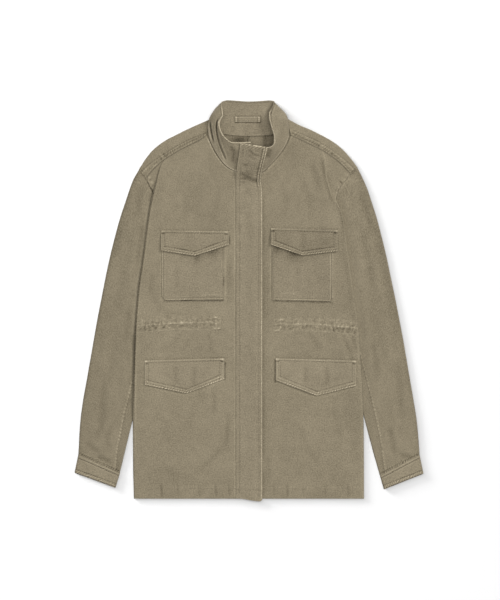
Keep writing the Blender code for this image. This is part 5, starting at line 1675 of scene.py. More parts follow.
    # painted light on the right front beside the wind flap's stitched edge, painted shade on the left front beside its
    # free edge
    if side == "r":
        rel.line([(235.9, 172), (235.4, 182), (235.2, 240), (235.2, 496)], 0.8, 0.0, 0.42, seed=291)
    else:
        rel.line([(263.4, 196), (263.6, 240), (263.6, 496)], 1.4, 0.0, -0.20, seed=293)
    rel.add(0, -0.03 * ease((r - 470) / 15) - (0.04 if side == "l" else 0.0))
    if side == "r":
        rel.add(0, 0.07 * np.exp(-(((r - 309) / 9.0) ** 2)) * ease((235 - c) / 20))
    if not upper:
        return rel
    return rel


def build_front(side):
    f = FOLD[side]
    length = abs(f["fold_col"][0] - ZIP_EDGE[side])
    us = places(length, 0.78)
    first = f["fold_row"][0]
    span = HEM - first
    rows = first + span * places(span, 0.84, [(2.0, 4.0, 0.6), (326 - first, 11, 0.56), (HEM_ROW + 4 - first, 8, 0.6)])
    past = 6 + {"r": 12, "l": 20}[side]  # columns past the fold
    grid = front_surface(side, us, rows, arc=6, run=past - 6)
    rel = front_relief(side, grid, True)
    n = len(us)
    # past the fold the relief fades: the turned cloth lies hidden, its open step near the shoulder keeps it
    k = np.arange(grid.shape[0])[:, None] - (n - 1)
    turn = smooth(rows, f["fold_row"], f["turn"])[None]
    keep = np.where(k <= 0, 1 - 0.75 * ease((k + 3) / 3) * (k > -3), 1 - ease(k / 2) * turn)
    rel.within(np.clip(keep, 0, 1))
    # painted shade in a narrow line along the left-hand roll, with painted light just inside it;
    # on the other side painted light and shade along the fold keep it faint
    if side == "r":
        force = smooth(rows, [150, 200, 320, 340, 390, 430, HEM], [0.85, 0.85, 1.15, 1.6, 0.95, 0.12, 0.12])[None]
        rel.add(0, -force * np.exp(-(((k - 0.5) / 0.75) ** 2)))
        beside = smooth(rows, [190, 230, 320, 340, 365, 382, 410, 430], [0.08, 0.14, 0.10, 0.08, 0.12, 0.44, 0.26, 0.0])[None]
        rel.add(0, beside * np.exp(-(((k + 1.3) / 0.8) ** 2)))
        rel.add(0, -0.5 * ((k >= 3) & (k < past)) * turn)
    else:
        plain = (1 - ease((rows - 316) / 14))[None]
        rel.add(0, -0.16 * np.exp(-(((k + 1.0) / 3.2) ** 2)) * plain * turn)
        rel.add(0, 0.30 * ((k >= 2) & (k < past)) * plain * turn)
        window = (ease((rows - 200) / 8) * (1 - ease((rows - 226) / 22)))[None]
        rel.add(0, -0.26 * np.exp(-(((k - 0.2) / 1.5) ** 2)) * window)
        rel.add(0, 0.22 * np.exp(-(((k - 0.5) / 1.6) ** 2)) * (1 - ease((rows - 190) / 10))[None])
        rel.add(0, -0.5 * ((k >= 3) & (k < past)) * turn * (1 - plain))
        rel.add(0, np.where(np.abs(k) <= 1, 0.05, 0) * turn * (1 - plain))
    sheet = Sheet(grid, rel, WALL, shown=1.0 if side == "l" else -1.0, seed=1 if side == "r" else 2)
    obj = piece("front_" + side, ["front_" + side], "canvas", sheet)
    return obj, sheet, n


# ---------------------------------------------------------------- backs
def back_relief(side, grid, rolled):
    c, r = grid[..., 0], grid[..., 1]
    rel = Relief(c, r)
    rel.add(0.10 * noise(c, r, 24, 101, 1.6) + 0.05 * noise(c, r, 9, 102), 0.05 * noise(c, r, 24, 103))
    if rolled:
        row = SEAM_ROWS[side]
        seam = [(float(a), float(b)) for a, b in zip(*along(SHOULDER[side], np.linspace(0, 1, 16)))]
        if side == "r":
            seam = seam[::-1]
        lane = curved(row, 2.0)
        low = curved(seam, 2.0)
        t = np.linspace(0, 1, 60)
        a = np.stack([np.interp(t, np.linspace(0, 1, len(lane)), lane[:, i]) for i in (0, 1)], -1)
        b = np.stack([np.interp(t, np.linspace(0, 1, len(low)), low[:, i]) for i in (0, 1)], -1)
        rel.rope((a * 0.5 + b * 0.5).tolist(), 1.7, 0.30, 0.30, pitch=3.0, slant=0.5, seed=111)
        rel.line(row, 0.6, 0.30, -0.24, beads=0.6, pitch=2.5, seed=112)
        rel.line((a * 0.80 + b * 0.20).tolist(), 0.6, -0.14, 0.36, beads=0.7, pitch=2.7, seed=113)
        rel.line((a * 0.24 + b * 0.76).tolist(), 0.6, -0.16, 0.34, beads=0.7, pitch=2.5, seed=114)
        rel.line((a * 0.10 + b * 0.90).tolist(), 0.6, 0.20, -0.20, beads=0.3, pitch=2.5, seed=214)
        if side == "r":
            rel.spots([(162.4, 156.2, 2.6, 0.8, 50, 1.0), (158.6, 160.6, 2.2, 0.7, -42, 0.7), (152.0, 166.4, 2.4, 0.7, -42, 0.8), (148.6, 170.6, 2.6, 0.7, -42, 0.7), (155.0, 165.4, 2.0, 0.6, -42, 0.6), (145.4, 168.8, 1.6, 0.6, 45, 0.6)], 0.25, 0.42)
            rel.spots([(164.6, 155.0, 2.6, 0.7, 50, 1.0), (160.4, 158.0, 2.2, 0.7, 50, 0.8), (143.0, 171.4, 2.4, 0.6, 45, 0.7)], -0.4, -0.60)
        else:
            rel.spots([(307.4, 138.6, 2.0, 1.2, 32, 0.7), (321.6, 147.0, 2.0, 1.0, 35, 0.8), (329.4, 151.6, 1.6, 1.0, 38, 0.8), (341.0, 160.0, 1.6, 1.0, 40, 0.8), (347.4, 166.0, 2.2, 0.8, 42, 0.6)], 0.25, 0.36)
            rel.spots([(290.6, 131.6, 2.4, 1.6, 60, 1.0)], 0.0, 0.40)
            rel.spots([(353.0, 171.0, 2.6, 0.6, -42, 1.0), (332.0, 153.6, 0.7, 1.6, 0, 0.6), (318.4, 145.2, 0.7, 1.6, 0, 0.6)], -0.3, -0.62)
        rel.pucker(row, 6.5, 0.55, 5.0, 0.4, 115, tone=0.07)
        # the roll of the shoulder turns away from the light at the outline
        turning = np.arange(c.shape[1])[None] - 5.0
        rel.add(0, -0.36 * np.exp(-((turning / 3.6) ** 2)) * np.ones_like(c))
        rel.add(0.20 * noise(c, r, 14, 116, 1.4) + 0.1 * noise(c, r, 6, 117), 0.04 * noise(c, r, 16, 118))
    else:
        rel.line([(247.3, 133), (247.5, 170)], 0.6, 0.2, -0.45, beads=0.2, seed=119)
        rel.line([(249.6, 133), (249.8, 170)], 0.6, 0.2, -0.30, beads=0.2, seed=120)
        rel.line([(222, 134.4), (236, 135.6), (249, 136.0), (262, 135.6), (276, 134.2)], 1.0, 0.2, -0.45, beads=0.2, seed=121)
        # painted shadow under the top of the wind flap, and painted shade inside the right-hand side of the stand
        rel.add(0, -0.95 * np.exp(-(((c - 239.5) / 8.0) ** 2 + ((r - 139.8) / 3.2) ** 2)))
        rel.add(0, -0.42 * np.exp(-(((c - 265.0) / 2.2) ** 4 + ((r - 142.0) / 9.0) ** 4)) - 0.30 * np.exp(-(((c - 271.0) / 3.4) ** 4 + ((r - 142.0) / 9.0) ** 4)))
    return rel


def build_back(side):
    b = BACK_SIDE[side]
    line = moved_in(ROLL[side], side, ROLL_R + WALL / 2)
    corner = abs(line["col"][0] - BACK_EDGE[side]) / abs(b["col"][0] - BACK_EDGE[side])
    us = places(110, 2.4, [(4, 6, 1.2)])
    rows = b["row"][0] + (HEM - b["row"][0]) * places(HEM - b["row"][0], 3.6, [(3, 6, 1.6)])
    flat = back_grid(side, us, rows)
    flat = np.concatenate([flat[:, :1] - np.array([0, k, 0]) * ease((1.04 * corner - us) / 0.05)[:, None, None] for k in (2.6, 1.2)] + [flat], 1)
    over = corner + (1 - corner) * places(75, 0.72)
    rolled = shoulder_grid(side, over, rows[:1], arc=9, run=26)
    way = rolled[-1] - rolled[-4]
    way = way[:, :2] / np.maximum(np.linalg.norm(way[:, :2], axis=1, keepdims=True), 1e-6)
    more = []
    for reach, squeeze in ((0.35, 0.8), (1.0, 0.62), (1.9, 0.5)):
        q = rolled[-1].copy()
        q[:, :2] += way * reach
        q[:, 2] = 2.9 + (q[:, 2] - 2.9) * squeeze
        more.append(q)
    rolled = np.concatenate([rolled, np.stack(more)], 0)
    shown = 1.0 if side == "l" else -1.0
    flat_sheet = Sheet(flat, back_relief(side, flat, False), WALL, shown=shown, seed=3)
    roll_sheet = Sheet(rolled, back_relief(side, rolled, True), WALL, shown=-shown, seed=4)
    obj = piece("back_" + side, ["back_" + side], "canvas", flat_sheet, roll_sheet)
    return obj, flat_sheet, roll_sheet


# ---------------------------------------------------------------- sleeves and cuffs
UNDERARM = {
    "r": [(140.5, 352), (132.3, 380), (129.0, 394), (123.5, 415.5), (119.7, 436), (117.0, 449), (115.0, 470)],
    "l": [(358.5, 345), (361.5, 358), (367.2, 380), (371.9, 398.7), (378.4, 426.7), (382.1, 447.2), (385.3, 474)],
}


def build_sleeve(side):
    out = OUT[side]
    top = places(62, 0.95, [(1.5, 1.5, 0.5), (60.5, 1.5, 0.5)])
    low = places(62, 3.6, [(1.5, 1.5, 0.8), (60.5, 1.5, 0.8)])
    us = np.concatenate([top, 2 - low[::-1][1:-1]])
    vs = places(285, 0.92, [(2, 4, 0.7), (282, 4, 0.7)])
    grid = sleeve_grid(side, us, vs)
    # the upper layer runs on under the body at the armhole, and the tube into the cuff
    upper = np.where(us <= 1, ease(np.minimum(us, 1 - us) * 62 / 3), 0)[:, None]
    way = grid[:, 0] - grid[:, 3]
    way = way[:, :2] / np.maximum(np.linalg.norm(way[:, :2], axis=1, keepdims=True), 1e-6)
    before = []
    for reach, drop in ((1.9, 1.7), (1.0, 1.2), (0.4, 0.4)):
        p = grid[:, 0].copy()
        p[:, :2] += way * (0.06 + reach * upper)
        p[:, 2] -= drop * upper[:, 0]
        before.append(p)
    before[0][:, :2] += way * 0.12
    before[1][:, :2] += way * 0.06
    way = grid[:, -1] - grid[:, -4]
    way = way[:, :2] / np.maximum(np.linalg.norm(way[:, :2], axis=1, keepdims=True), 1e-6)
    after = []
    for reach, squeeze in ((0.4, 0.75), (1.0, 0.3), (2.2, 0.22)):
        p = grid[:, -1].copy()
        p[:, :2] += way * reach
        p[:, 2] = 3.1 + (p[:, 2] - 3.1) * squeeze
        after.append(p)
    grid = np.concatenate([np.stack(before, 1), grid, np.stack(after, 1)], 1)
    c, r = grid[..., 0], grid[..., 1]
    rel = Relief(c, r)
    turn = 13 * out * -1
    rel.add(
        0.55 * noise(c, r, 24, 121 + ord(side), 2.4, turn)
        + 0.32 * noise(c, r, 12, 122 + ord(side), 2.2, turn * 1.8)
        + 0.12 * noise(c, r, 6, 123, 1.8, turn)
        + 0.04 * noise(c, r, 3.0, 124),
        0.05 * noise(c, r, 26, 125, 2) + 0.03 * noise(c, r, 10, 126),
    )
    for width, depth, tone, path in SLEEVE_CREASES[side]:
        rel.crease(path, width, depth, 0.4, tone)
    shades(rel, SLEEVE_SHADES[side])
    arm = ARMHOLE[side]
    if side == "r":
        rel.line(arm, 0.9, 0.45, -0.42, beads=0.3, pitch=3.0, seed=127)
    else:
        rel.line(arm[:2], 1.0, 0.2, -0.22, seed=127)
        rel.line(arm[1:], 1.6, 0.0, 0.12, seed=427)
        rel.line([(352.5, 177), (350.5, 184), (349.5, 194)], 4.0, 0.0, 0.22, ends=4, seed=327)
        rel.crease([(347.8, 180), (346.2, 188), (345.6, 197)], 1.4, 0.3, 0.1, 0.14)
    rel.pucker(arm, 6.0, 0.45, 5.0, 0.3, 128, tone=0.06, side=0)
    under = UNDERARM[side]
    rel.line(under, 0.7, 0.10, 0.36, beads=1.0, pitch=3.7, seed=129)
    rel.line([(a - out * 0.9, b) for a, b in under], 0.6, 0.25, -0.26, beads=0.9, pitch=3.7, seed=329)
    inner = [(a - out * 2.4, b) for a, b in under]
    rel.line(inner, 1.5, 0.30, -0.08, beads=0.2, seed=130)
    # painted light on the right sleeve beside the body's fold, lifting the shade there
    if side == "r":
        beside = [(float(fold_col(side, b)) - 1.2, float(b)) for b in range(200, 342, 8)]
        rel.line(beside, 1.4, 0.0, 0.42, ends=4, seed=331)
        beside = [(float(fold_col(side, b)) - 2.0, float(b)) for b in range(346, 404, 8)]
        rel.line(beside, 1.1, 0.0, 0.26, ends=6, seed=531)
    rel.pucker(under, 4.5, 0.32, 5.2, 0.3, 131, tone=0.05)
    q = CUFF[side]
    edge = [(q["col"][0], q["row"][0]), (q["col"][1], q["row"][1])]
    rel.pucker(edge, 8.0, 0.70, 4.2, 0.2, 132, tone=0.08)
    way_down = np.array([q["col"][3] - q["col"][0], q["row"][3] - q["row"][0]])
    way_down = way_down / np.linalg.norm(way_down)
    lifted = lambda gap: [tuple(np.array(e) - way_down * gap) for e in edge]
    rel.rope(lifted(0.6), 1.2, 0.30, 0.66, pitch=2.5, slant=0.9, seed=333)
    rel.line(lifted(1.9), 0.7, 0.3, -0.46, beads=0.6, pitch=2.5, seed=133)
    rel.rope(lifted(3.4), 0.8, 0.2, 0.34, pitch=2.5, slant=0.9, seed=134)
    fade = np.where(us <= 1, np.minimum(us, 1 - us), 0) * 62
    rel.within(ease(fade / 2.5)[:, None] * np.ones_like(c) * 0.9 + 0.1 * (us <= 1)[:, None])
    # painted shade where the tube turns away at the outer fold; darker beside the body and a little darker all over
    outer = (1 - us if np.abs(grid[0, 5, 0] - 249) < np.abs(grid[len(top) - 1, 5, 0] - 249) else us) * 62
    outer = np.where(us <= 1, outer, 60)[:, None]
    inner = np.where(us <= 1, 62 - outer[:, 0], 60)[:, None]
    rel.add(0, -0.085 - 0.20 * np.exp(-((outer / 2.0) ** 2)) - (0.10 if side == "r" else 0.04) * np.exp(-((inner / 9.0) ** 2)))
    ring_skip = 1
    sheet = Sheet(grid, rel, WALL, shown=1.0 if side == "r" else -1.0, ring=True, skip=ring_skip, seed=5)
    obj = piece("sleeve_" + side, ["sleeve_" + side], "canvas", sheet)
    return obj, sheet, len(top)


def build_cuff(side):
    top = places(44, 0.5, [(1, 1, 0.35), (43, 1, 0.35)])
    low = places(44, 2.2, [(1, 1, 0.6), (43, 1, 0.6)])
    us = np.concatenate([top, 2 - low[::-1][1:-1]])
    vs = places(15.5, 0.45)
    grid = cuff_grid(side, us, vs)
    c, r = grid[..., 0], grid[..., 1]
    rel = Relief(c, r)
    rel.add(0.22 * noise(c, r, 9, 141 + ord(side), 1.4) + 0.05 * noise(c, r, 3, 142), 0.05 * noise(c, r, 9, 143))
    q = np.stack([CUFF[side]["col"], CUFF[side]["row"]], -1)
    down = (q[3] - q[0]) / np.linalg.norm(q[3] - q[0])
    for gap, width, depth, tone, beads in ((0.2, 0.7, 0.05, -0.08, 0.5), (1.4, 0.9, -0.22, 0.34, 0.5), (2.6, 0.6, 0.30, -0.66, 0.5), (3.7, 0.6, -0.10, 0.20, 0.5)):
        rel.line([tuple(q[0] + down * gap), tuple(q[1] + down * gap)], width, depth, tone, beads=beads, pitch=2.3, seed=144)
    for gap, width, depth, tone, beads in ((2.7, 0.5, -0.15, 0.20, 0.5), (3.7, 0.6, 0.30, -0.62, 0.5)):
        rel.line([tuple(q[3] - down * gap), tuple(q[2] - down * gap)], width, depth, tone, beads=beads, pitch=2.3, seed=145)
    rel.rope([tuple(q[3] - down * 1.7), tuple(q[2] - down * 1.7)], 1.3, 0.25, 0.75, pitch=2.6, slant=1.0, seed=245)
    rel.line([tuple(q[3] - down * 0.35), tuple(q[2] - down * 0.35)], 0.6, 0.1, -0.70, beads=0.8, pitch=2.6, seed=246)
    rel.pucker([tuple(q[3] - down * 2.6), tuple(q[2] - down * 2.6)], 2.4, 0.30, 3.4, 0.6, 146, tone=0.06)
    rel.pucker([tuple(q[0] + down * 2.6), tuple(q[1] + down * 2.6)], 3.0, 0.30, 3.8, 0.6, 147, tone=0.06)
    fade = np.where(us <= 1, np.minimum(us, 1 - us), 0) * 44
    rel.within(ease(fade / 1.2)[:, None] * np.ones_like(c))
    # painted shade where the cuff turns away at its two folds; the rest a little lighter
    rel.add(0, 0.08 - 0.26 * np.exp(-((fade / 1.2) ** 2))[:, None] * (us <= 1)[:, None])
    sheet = Sheet(grid, rel, CUFF_WALL, shown=1.0 if side == "r" else -1.0, ring=True, skip=1, seed=6)
    obj = piece("cuff_" + side, ["cuff_" + side], "canvas_trim", sheet)
    return obj, sheet, len(top), q, down


# ---------------------------------------------------------------- collar
def build_collar():
    us, vs = places(330, 0.8), places(46, 0.75, [(45, 3, 0.5), (1, 2, 0.5)])
    grid = collar_mid(us, vs)
    made = []
    for name, outer in (("collar", True), ("collar_facing", False)):
        c, r = grid[..., 0], grid[..., 1]
        z = grid[..., 2]
        rel = Relief(c, r)
        v = np.broadcast_to(vs[None], c.shape)
        u = np.broadcast_to(us[:, None], c.shape)
        run, height = u * 330, v * 46
        rel.add(
            0.45 * noise(run, height, 16, 151 + outer, 1.3) + 0.25 * noise(run, height, 8, 152, 1.2) + 0.06 * noise(run, height, 3.4, 153),
            0.04 * noise(run, height, 14, 154),
        )
        # lighter top edge, partly wear and partly painted highlight, with painted shade in the groove just below it;
        # not along the back, which is seen from behind its fold and gets a darker band instead
        back = ease((run - 110) / 8) * ease((232 - run) / 8)
        worn = 1 - 0.95 * back
        rel.add(0, 0.90 * worn * ease((v - 0.981) / 0.013))
        rel.add(0, -0.30 * back * np.exp(-(((v - 0.965) / 0.02) ** 2)))
        rel.add(-0.28 * np.exp(-(((v - 0.950) / 0.012) ** 2)), -0.40 * worn * np.exp(-(((v - 0.952) / 0.012) ** 2)))
        twist = np.sin(2 * math.pi * (run / 4.2 + 1.2 * height / 4.2 + 0.6 * noise(run, run * 0, 7, 155)))
        rel.add(0.14 * twist * ease((v - 0.93) / 0.03), 0.16 * worn * twist * ease((v - 0.93) / 0.03))
        if outer:
            front = (z > 3.6) & (v < 0.98)
            keep = Relief(c, r)
            # creases with painted shade, and two ridges with painted light, on the left-hand side of the stand
            keep.crease([(210.6, 119.5), (211.0, 126.0), (211.7, 132), (213.2, 138.8), (214.4, 144)], 0.8, 1.2, 0.5, 1.6, ends=0.25)
            keep.crease([(219.0, 117.6), (217.3, 122.7), (216.9, 127.5), (217.4, 133), (218.7, 139.6), (221.3, 148), (223.9, 154.5), (226.4, 161)], 0.75, 1.8, 0.5, 1.7, ends=0.14)
            keep.ridge([(215.0, 122), (215.0, 132), (216.4, 142), (218.6, 150)], 1.5, 0.5, 0.28)
            keep.ridge([(208.6, 122), (209.4, 132), (211.4, 142)], 1.4, 0.3, 0.20)
            keep.crease([(228.6, 143.0), (231.4, 147.6), (233.8, 153), (233.4, 158.6), (234.4, 166)], 2.4, 0.8, 0.3, 0.50)
            keep.crease([(225, 151), (228, 160), (232, 168)], 2.6, 0.4, 0.3, 0.10)
            # the wind flap's free edge casts a narrow shade on the stand
            keep.line([(270.4, 147.4), (269.6, 150.4), (268.0, 154.0), (266.6, 158.5)], 2.5, 0.0, -0.62, ends=3, seed=361)
            keep.crease([(283.5, 118), (283.0, 128), (280, 139), (276, 148)], 2.6, 0.5, 0.3, 0.12)
            keep.crease([(276.5, 112), (276.0, 122), (277, 134)], 2.4, 0.4, 0.3, 0.10)
            # the upper front edge is stitched twice beside the right-hand turn
            keep.line([(274.8, 102.5), (272.2, 109.0), (270.6, 115.0)], 0.6, 0.2, -0.45, beads=0.3, seed=156)
            keep.line([(276.2, 103.5), (273.6, 110.0), (272.0, 116.0)], 0.6, -0.1, 0.45, beads=0.6, pitch=2.4, seed=157)
            keep.within(front.astype(float))
            rel.add(keep.high, keep.tone)
            # painted light along the stand's foot, lifting the shade at the neck seam, and over the lower part of its
            # left-hand side
            rel.add(-0.2 * np.exp(-((v / 0.02) ** 2)), 0.95 * np.exp(-((v / 0.045) ** 2)))
            rel.add(0, 0.46 * (1 - ease((u - 0.26) / 0.08)) * ease((u - 0.06) / 0.06) * (1 - ease((v - 0.22) / 0.36)))
        else:
            rel.add(-0.15 * np.exp(-((v / 0.03) ** 2)), 0.10 * np.exp(-((v / 0.03) ** 2)))
            # painted shade deep inside the stand on both sides and just under its top edge, less of it on one patch of
            # the right-hand inside
            deep = ease((r - 112) / 26) * ease((27.5 - z) / 10)
            rel.add(0, -0.32 * deep * (u > 0.62) - 0.35 * deep * (u < 0.33))
            rel.add(0, 0.34 * np.exp(-(((c - 265.0) / 3.6) ** 2) - ((r - 116) / 9.0) ** 2))
            rel.add(0, 0.16 * noise(run, height, 4, 158, 1.4) * deep)
            rel.add(0, -0.65 * (u > 0.66) * np.exp(-(((v - 0.945) / 0.022) ** 2)))
            rel.add(0, -0.55 * (u < 0.30) * np.exp(-(((v - 0.950) / 0.018) ** 2)))
            # painted shadow round the hanger loop, strongest below it, in slight dents
            loop = Relief(c, r)
            loop.line([(235.6, 122.4), (260.0, 122.4)], 0.8, 0.2, -0.75, beads=0.1, seed=159)
            loop.line([(235.4, 116.2), (260.0, 116.2)], 0.7, 0.1, -0.30, beads=0.2, seed=160)
            loop.line([(260.6, 116.4), (260.6, 122.0)], 0.7, 0.1, -0.40, beads=0.1, seed=260)
            loop.within(((r > 112) & (r < 126) & (u > 0.3) & (u < 0.7)).astype(float))
            rel.add(loop.high, loop.tone)
        # the folded end of the stand catches light at its corner
        rel.spots([(250.0, 142.3, 1.3, 0.9, 0, 1.0), (241.0, 143.2, 1.0, 0.6, 0, 0.6), (245.6, 142.4, 1.4, 0.6, -20, 0.4)], 0.1, 0.75)
        sheet = Sheet(
            grid, rel, WALL, shown=1.0 if outer else -1.0, centre=COLLAR_LAYER, seed=7 + outer, skip=3,
        )
        obj = piece(name, [name], "canvas" if outer else "canvas_trim", sheet)
        made.append((obj, sheet))
    return made, us, vs


# ---------------------------------------------------------------- placket
def build_placket():
    us, rows = places(26.3, 0.62, [(1.2, 1.5, 0.5), (24.6, 2, 0.42)]), 355 * places(355, 0.8, [(6, 8, 0.6), (350, 6, 0.6)])
    grid = placket_grid(us, rows)
    # the loose upper part of the free edge leans a little over the stand
    lean = 2.3 * us[:, None] ** 2 * (1 - ease((rows[None] - 18) / 20))
    grid[..., 0] += lean
    c, r = grid[..., 0], grid[..., 1]
    rel = body_drape(Relief(c, r)).within(0.7)
    u = np.broadcast_to(us[:, None], c.shape)
    edge = smooth(rows, PLACKET["row"], PLACKET["edge"])
    free = smooth(rows, PLACKET["row"], PLACKET["free"])
    top = PLACKET_TOP
    in_path = lambda off: [(float(e + off), float(top + 1 + t * (HEM - top) / 355)) for e, t in zip(edge[::12], rows[::12])]
    moved = lean[-1]
    out_path = lambda off: [(float(e + m - off), float(top + 4 + t * (HEM - top) / 355)) for e, m, t in zip(free[::8], moved[::8], rows[::8])]
    rel.line(in_path(0.1), 0.6, 0.10, -0.06, beads=0.3, seed=161)
    rel.line(in_path(1.7), 0.9, -0.04, 0.02, beads=0.5, pitch=3.0, seed=162)
    rel.line(in_path(3.6), 0.65, 0.30, -0.30, beads=0.3, pitch=2.8, seed=163)
    rel.line(in_path(4.6), 0.5, 0.0, 0.10, beads=0.7, pitch=2.8, seed=263)
    rel.pucker(in_path(3.5), 3.4, 0.26, 5.0, 0.3, 164, tone=0.04)
    rim = [(a - 0.62 * float(ease((b - top - 34) / 8)), b) for a, b in out_path(0.30)]
    index, d, s, total = near(rim, c, r, 2.2)
    upper = 1 - ease((s - 34) / 8)
    bead = 0.5 + 0.5 * np.sin(2 * math.pi * (s / 2.9 + 0.5 * noise(s, s * 0, 5, 367)))
    bell = np.exp(-((d / 0.6) ** 2))
    rel._put(index, 0.06 * bell, bell * (upper * (0.30 + 0.75 * bead) + (1 - upper) * (0.60 + 0.34 * bead)))
    lower = [q for q in out_path(3.75) if q[1] > top + 44]
    rel.line(lower, 0.5, 0.10, -0.24, beads=0.5, pitch=2.8, seed=463)
    rel.line([(a + 1.0, b) for a, b in lower], 0.5, 0.0, 0.16, beads=0.5, pitch=2.8, seed=464)
    index, d, s, total = near(out_path(1.45), c, r, 5.5)
    upper = 1 - ease((s - 36) / 10)
    rel._put(
        index,
        -0.30 * upper * np.exp(-((d / 0.55) ** 2)),
        -0.75 * upper * np.exp(-((d / 0.5) ** 2)),
    )
    for gap, width, light, dark in ((2.6, 0.6, 0.85, 0.0), (4.0, 0.8, 0.0, -0.55)):
        index, d, s, total = near(out_path(gap), c, r, 2.2)
        upper = 1 - ease((s - 36) / 10)
        bead = 0.50 + 0.50 * np.sin(2 * math.pi * (s / 2.9 + 0.5 + 0.5 * noise(s, s * 0, 5, 169)))
        rel._put(index, (0.12 if light else -0.2) * upper * np.exp(-((d / width) ** 2)), (light * bead + dark) * upper * np.exp(-((d / width) ** 2)))
    for gap, tone in ((2.2, -0.40), (1.1, -0.12)):
        index, d, s, total = near(out_path(gap), c, r, 2.2)
        lower_part = ease((s - 36) / 10)
        rel._put(index, -0.20 * lower_part * np.exp(-((d / 0.55) ** 2)), tone * lower_part * np.exp(-((d / 0.55) ** 2)))
    rel.pucker(out_path(1.6), 3.0, 0.26, 4.6, 0.4, 168, tone=0.04)
    rel.crease([(239.0, 172.0), (242, 174.4), (246.3, 177.4), (251, 179.6), (258.3, 181.6)], 1.9, 1.1, 0.5, 0.46, lean=-0.3, ends=0.18)
    rel.crease([(243.6, 170.0), (248, 173.6), (255, 176.2)], 2.2, 0.6, 0.4, 0.30, ends=0.3)
    rel.crease([(238.6, 178.6), (243, 178.6), (247.0, 179.6)], 0.9, 0.7, 0.4, 0.45, ends=0.25)
    rel.crease([(240.0, 183.0), (243, 182.0), (246, 182.6)], 0.8, 0.4, 0.3, 0.3, ends=0.3)
    rel.crease([(248.6, 149.4), (250.6, 152.0), (254.4, 155.2), (260.4, 156.6)], 1.1, 0.9, 0.5, 0.42, ends=0.25)
    rel.crease([(249.2, 154.0), (253.2, 158.6), (258, 160.0)], 1.8, 0.5, 0.4, 0.18, ends=0.3)
    rel.crease([(241.8, 164.6), (245.4, 165.0), (249.2, 164.2)], 1.0, 0.6, 0.35, 0.38)
    rel.crease([(242, 190), (249, 194), (258, 196)], 3.0, 0.5, 0.35, 0.10)
    down_ = np.broadcast_to(rows[None], c.shape)
    across_ = u * 26.3
    twist = np.sin(2 * math.pi * (across_ / 3.4 + down_ / 2.8 + 0.4 * noise(across_, down_ * 0, 5, 172)))
    rel.add(0.15 * twist * np.exp(-((down_ / 2.6) ** 2)), (0.52 + 0.50 * twist) * np.exp(-((down_ / 1.2) ** 2)) + 0.38 * twist * np.exp(-(((down_ - 2.2) / 1.2) ** 2)))
    rel.add(0, 0.20 * (1 - ease((r - 168) / 12)) * np.exp(-(((across_ - 0.2) / 1.2) ** 2)) - 0.16 * (1 - ease((r - 168) / 12)) * np.exp(-(((across_ - 2.0) / 1.2) ** 2)))
    # painted shade where the wind flap bends up at the stand's foot, and on two soft patches above it
    rel.add(0, -0.16 * ease((r - 160) / 6) * (1 - ease((r - 180) / 8)) * ease((u - 0.1) / 0.2))
    rel.add(0, -0.30 * np.exp(-(((c - 259.5) / 4.0) ** 2 + ((r - 151) / 5.0) ** 2)))
    rel.add(0, -0.20 * np.exp(-(((c - 250) / 7.0) ** 2 + ((r - 152) / 6.0) ** 2)))
    rel.spots([(255.8, 146.0, 1.1, 0.8, 0, 1.0), (258.9, 146.4, 1.1, 0.8, 0, 0.9), (249.0, 145.0, 1.4, 0.5, 15, 0.6), (262.6, 147.6, 1.6, 0.5, 20, 0.5)], 0.1, 0.70)
    rel.spots([(252.4, 145.6, 1.0, 0.6, 20, 0.8), (247.4, 145.4, 1.2, 0.5, 20, 0.6), (260.8, 148.2, 1.0, 0.5, 20, 0.7)], -0.1, -0.70)
    # the hem of the wind flap, stitched on a slope
    rel.line([(240.7, 496.0), (250, 498.0), (260.5, 499.6)], 0.6, 0.2, -0.10, beads=0.3, seed=169)
    rel.line([(236, HEM_ROW + 0.5), (262, HEM_ROW + 1.5)], 0.7, 0.28, -0.16, beads=0.4, seed=170)
    sheet = Sheet(grid, rel, WALL, shown=1.0, seed=9)
    obj = piece("placket", ["placket"], "canvas_trim", sheet)
    return obj, sheet, in_path, out_path


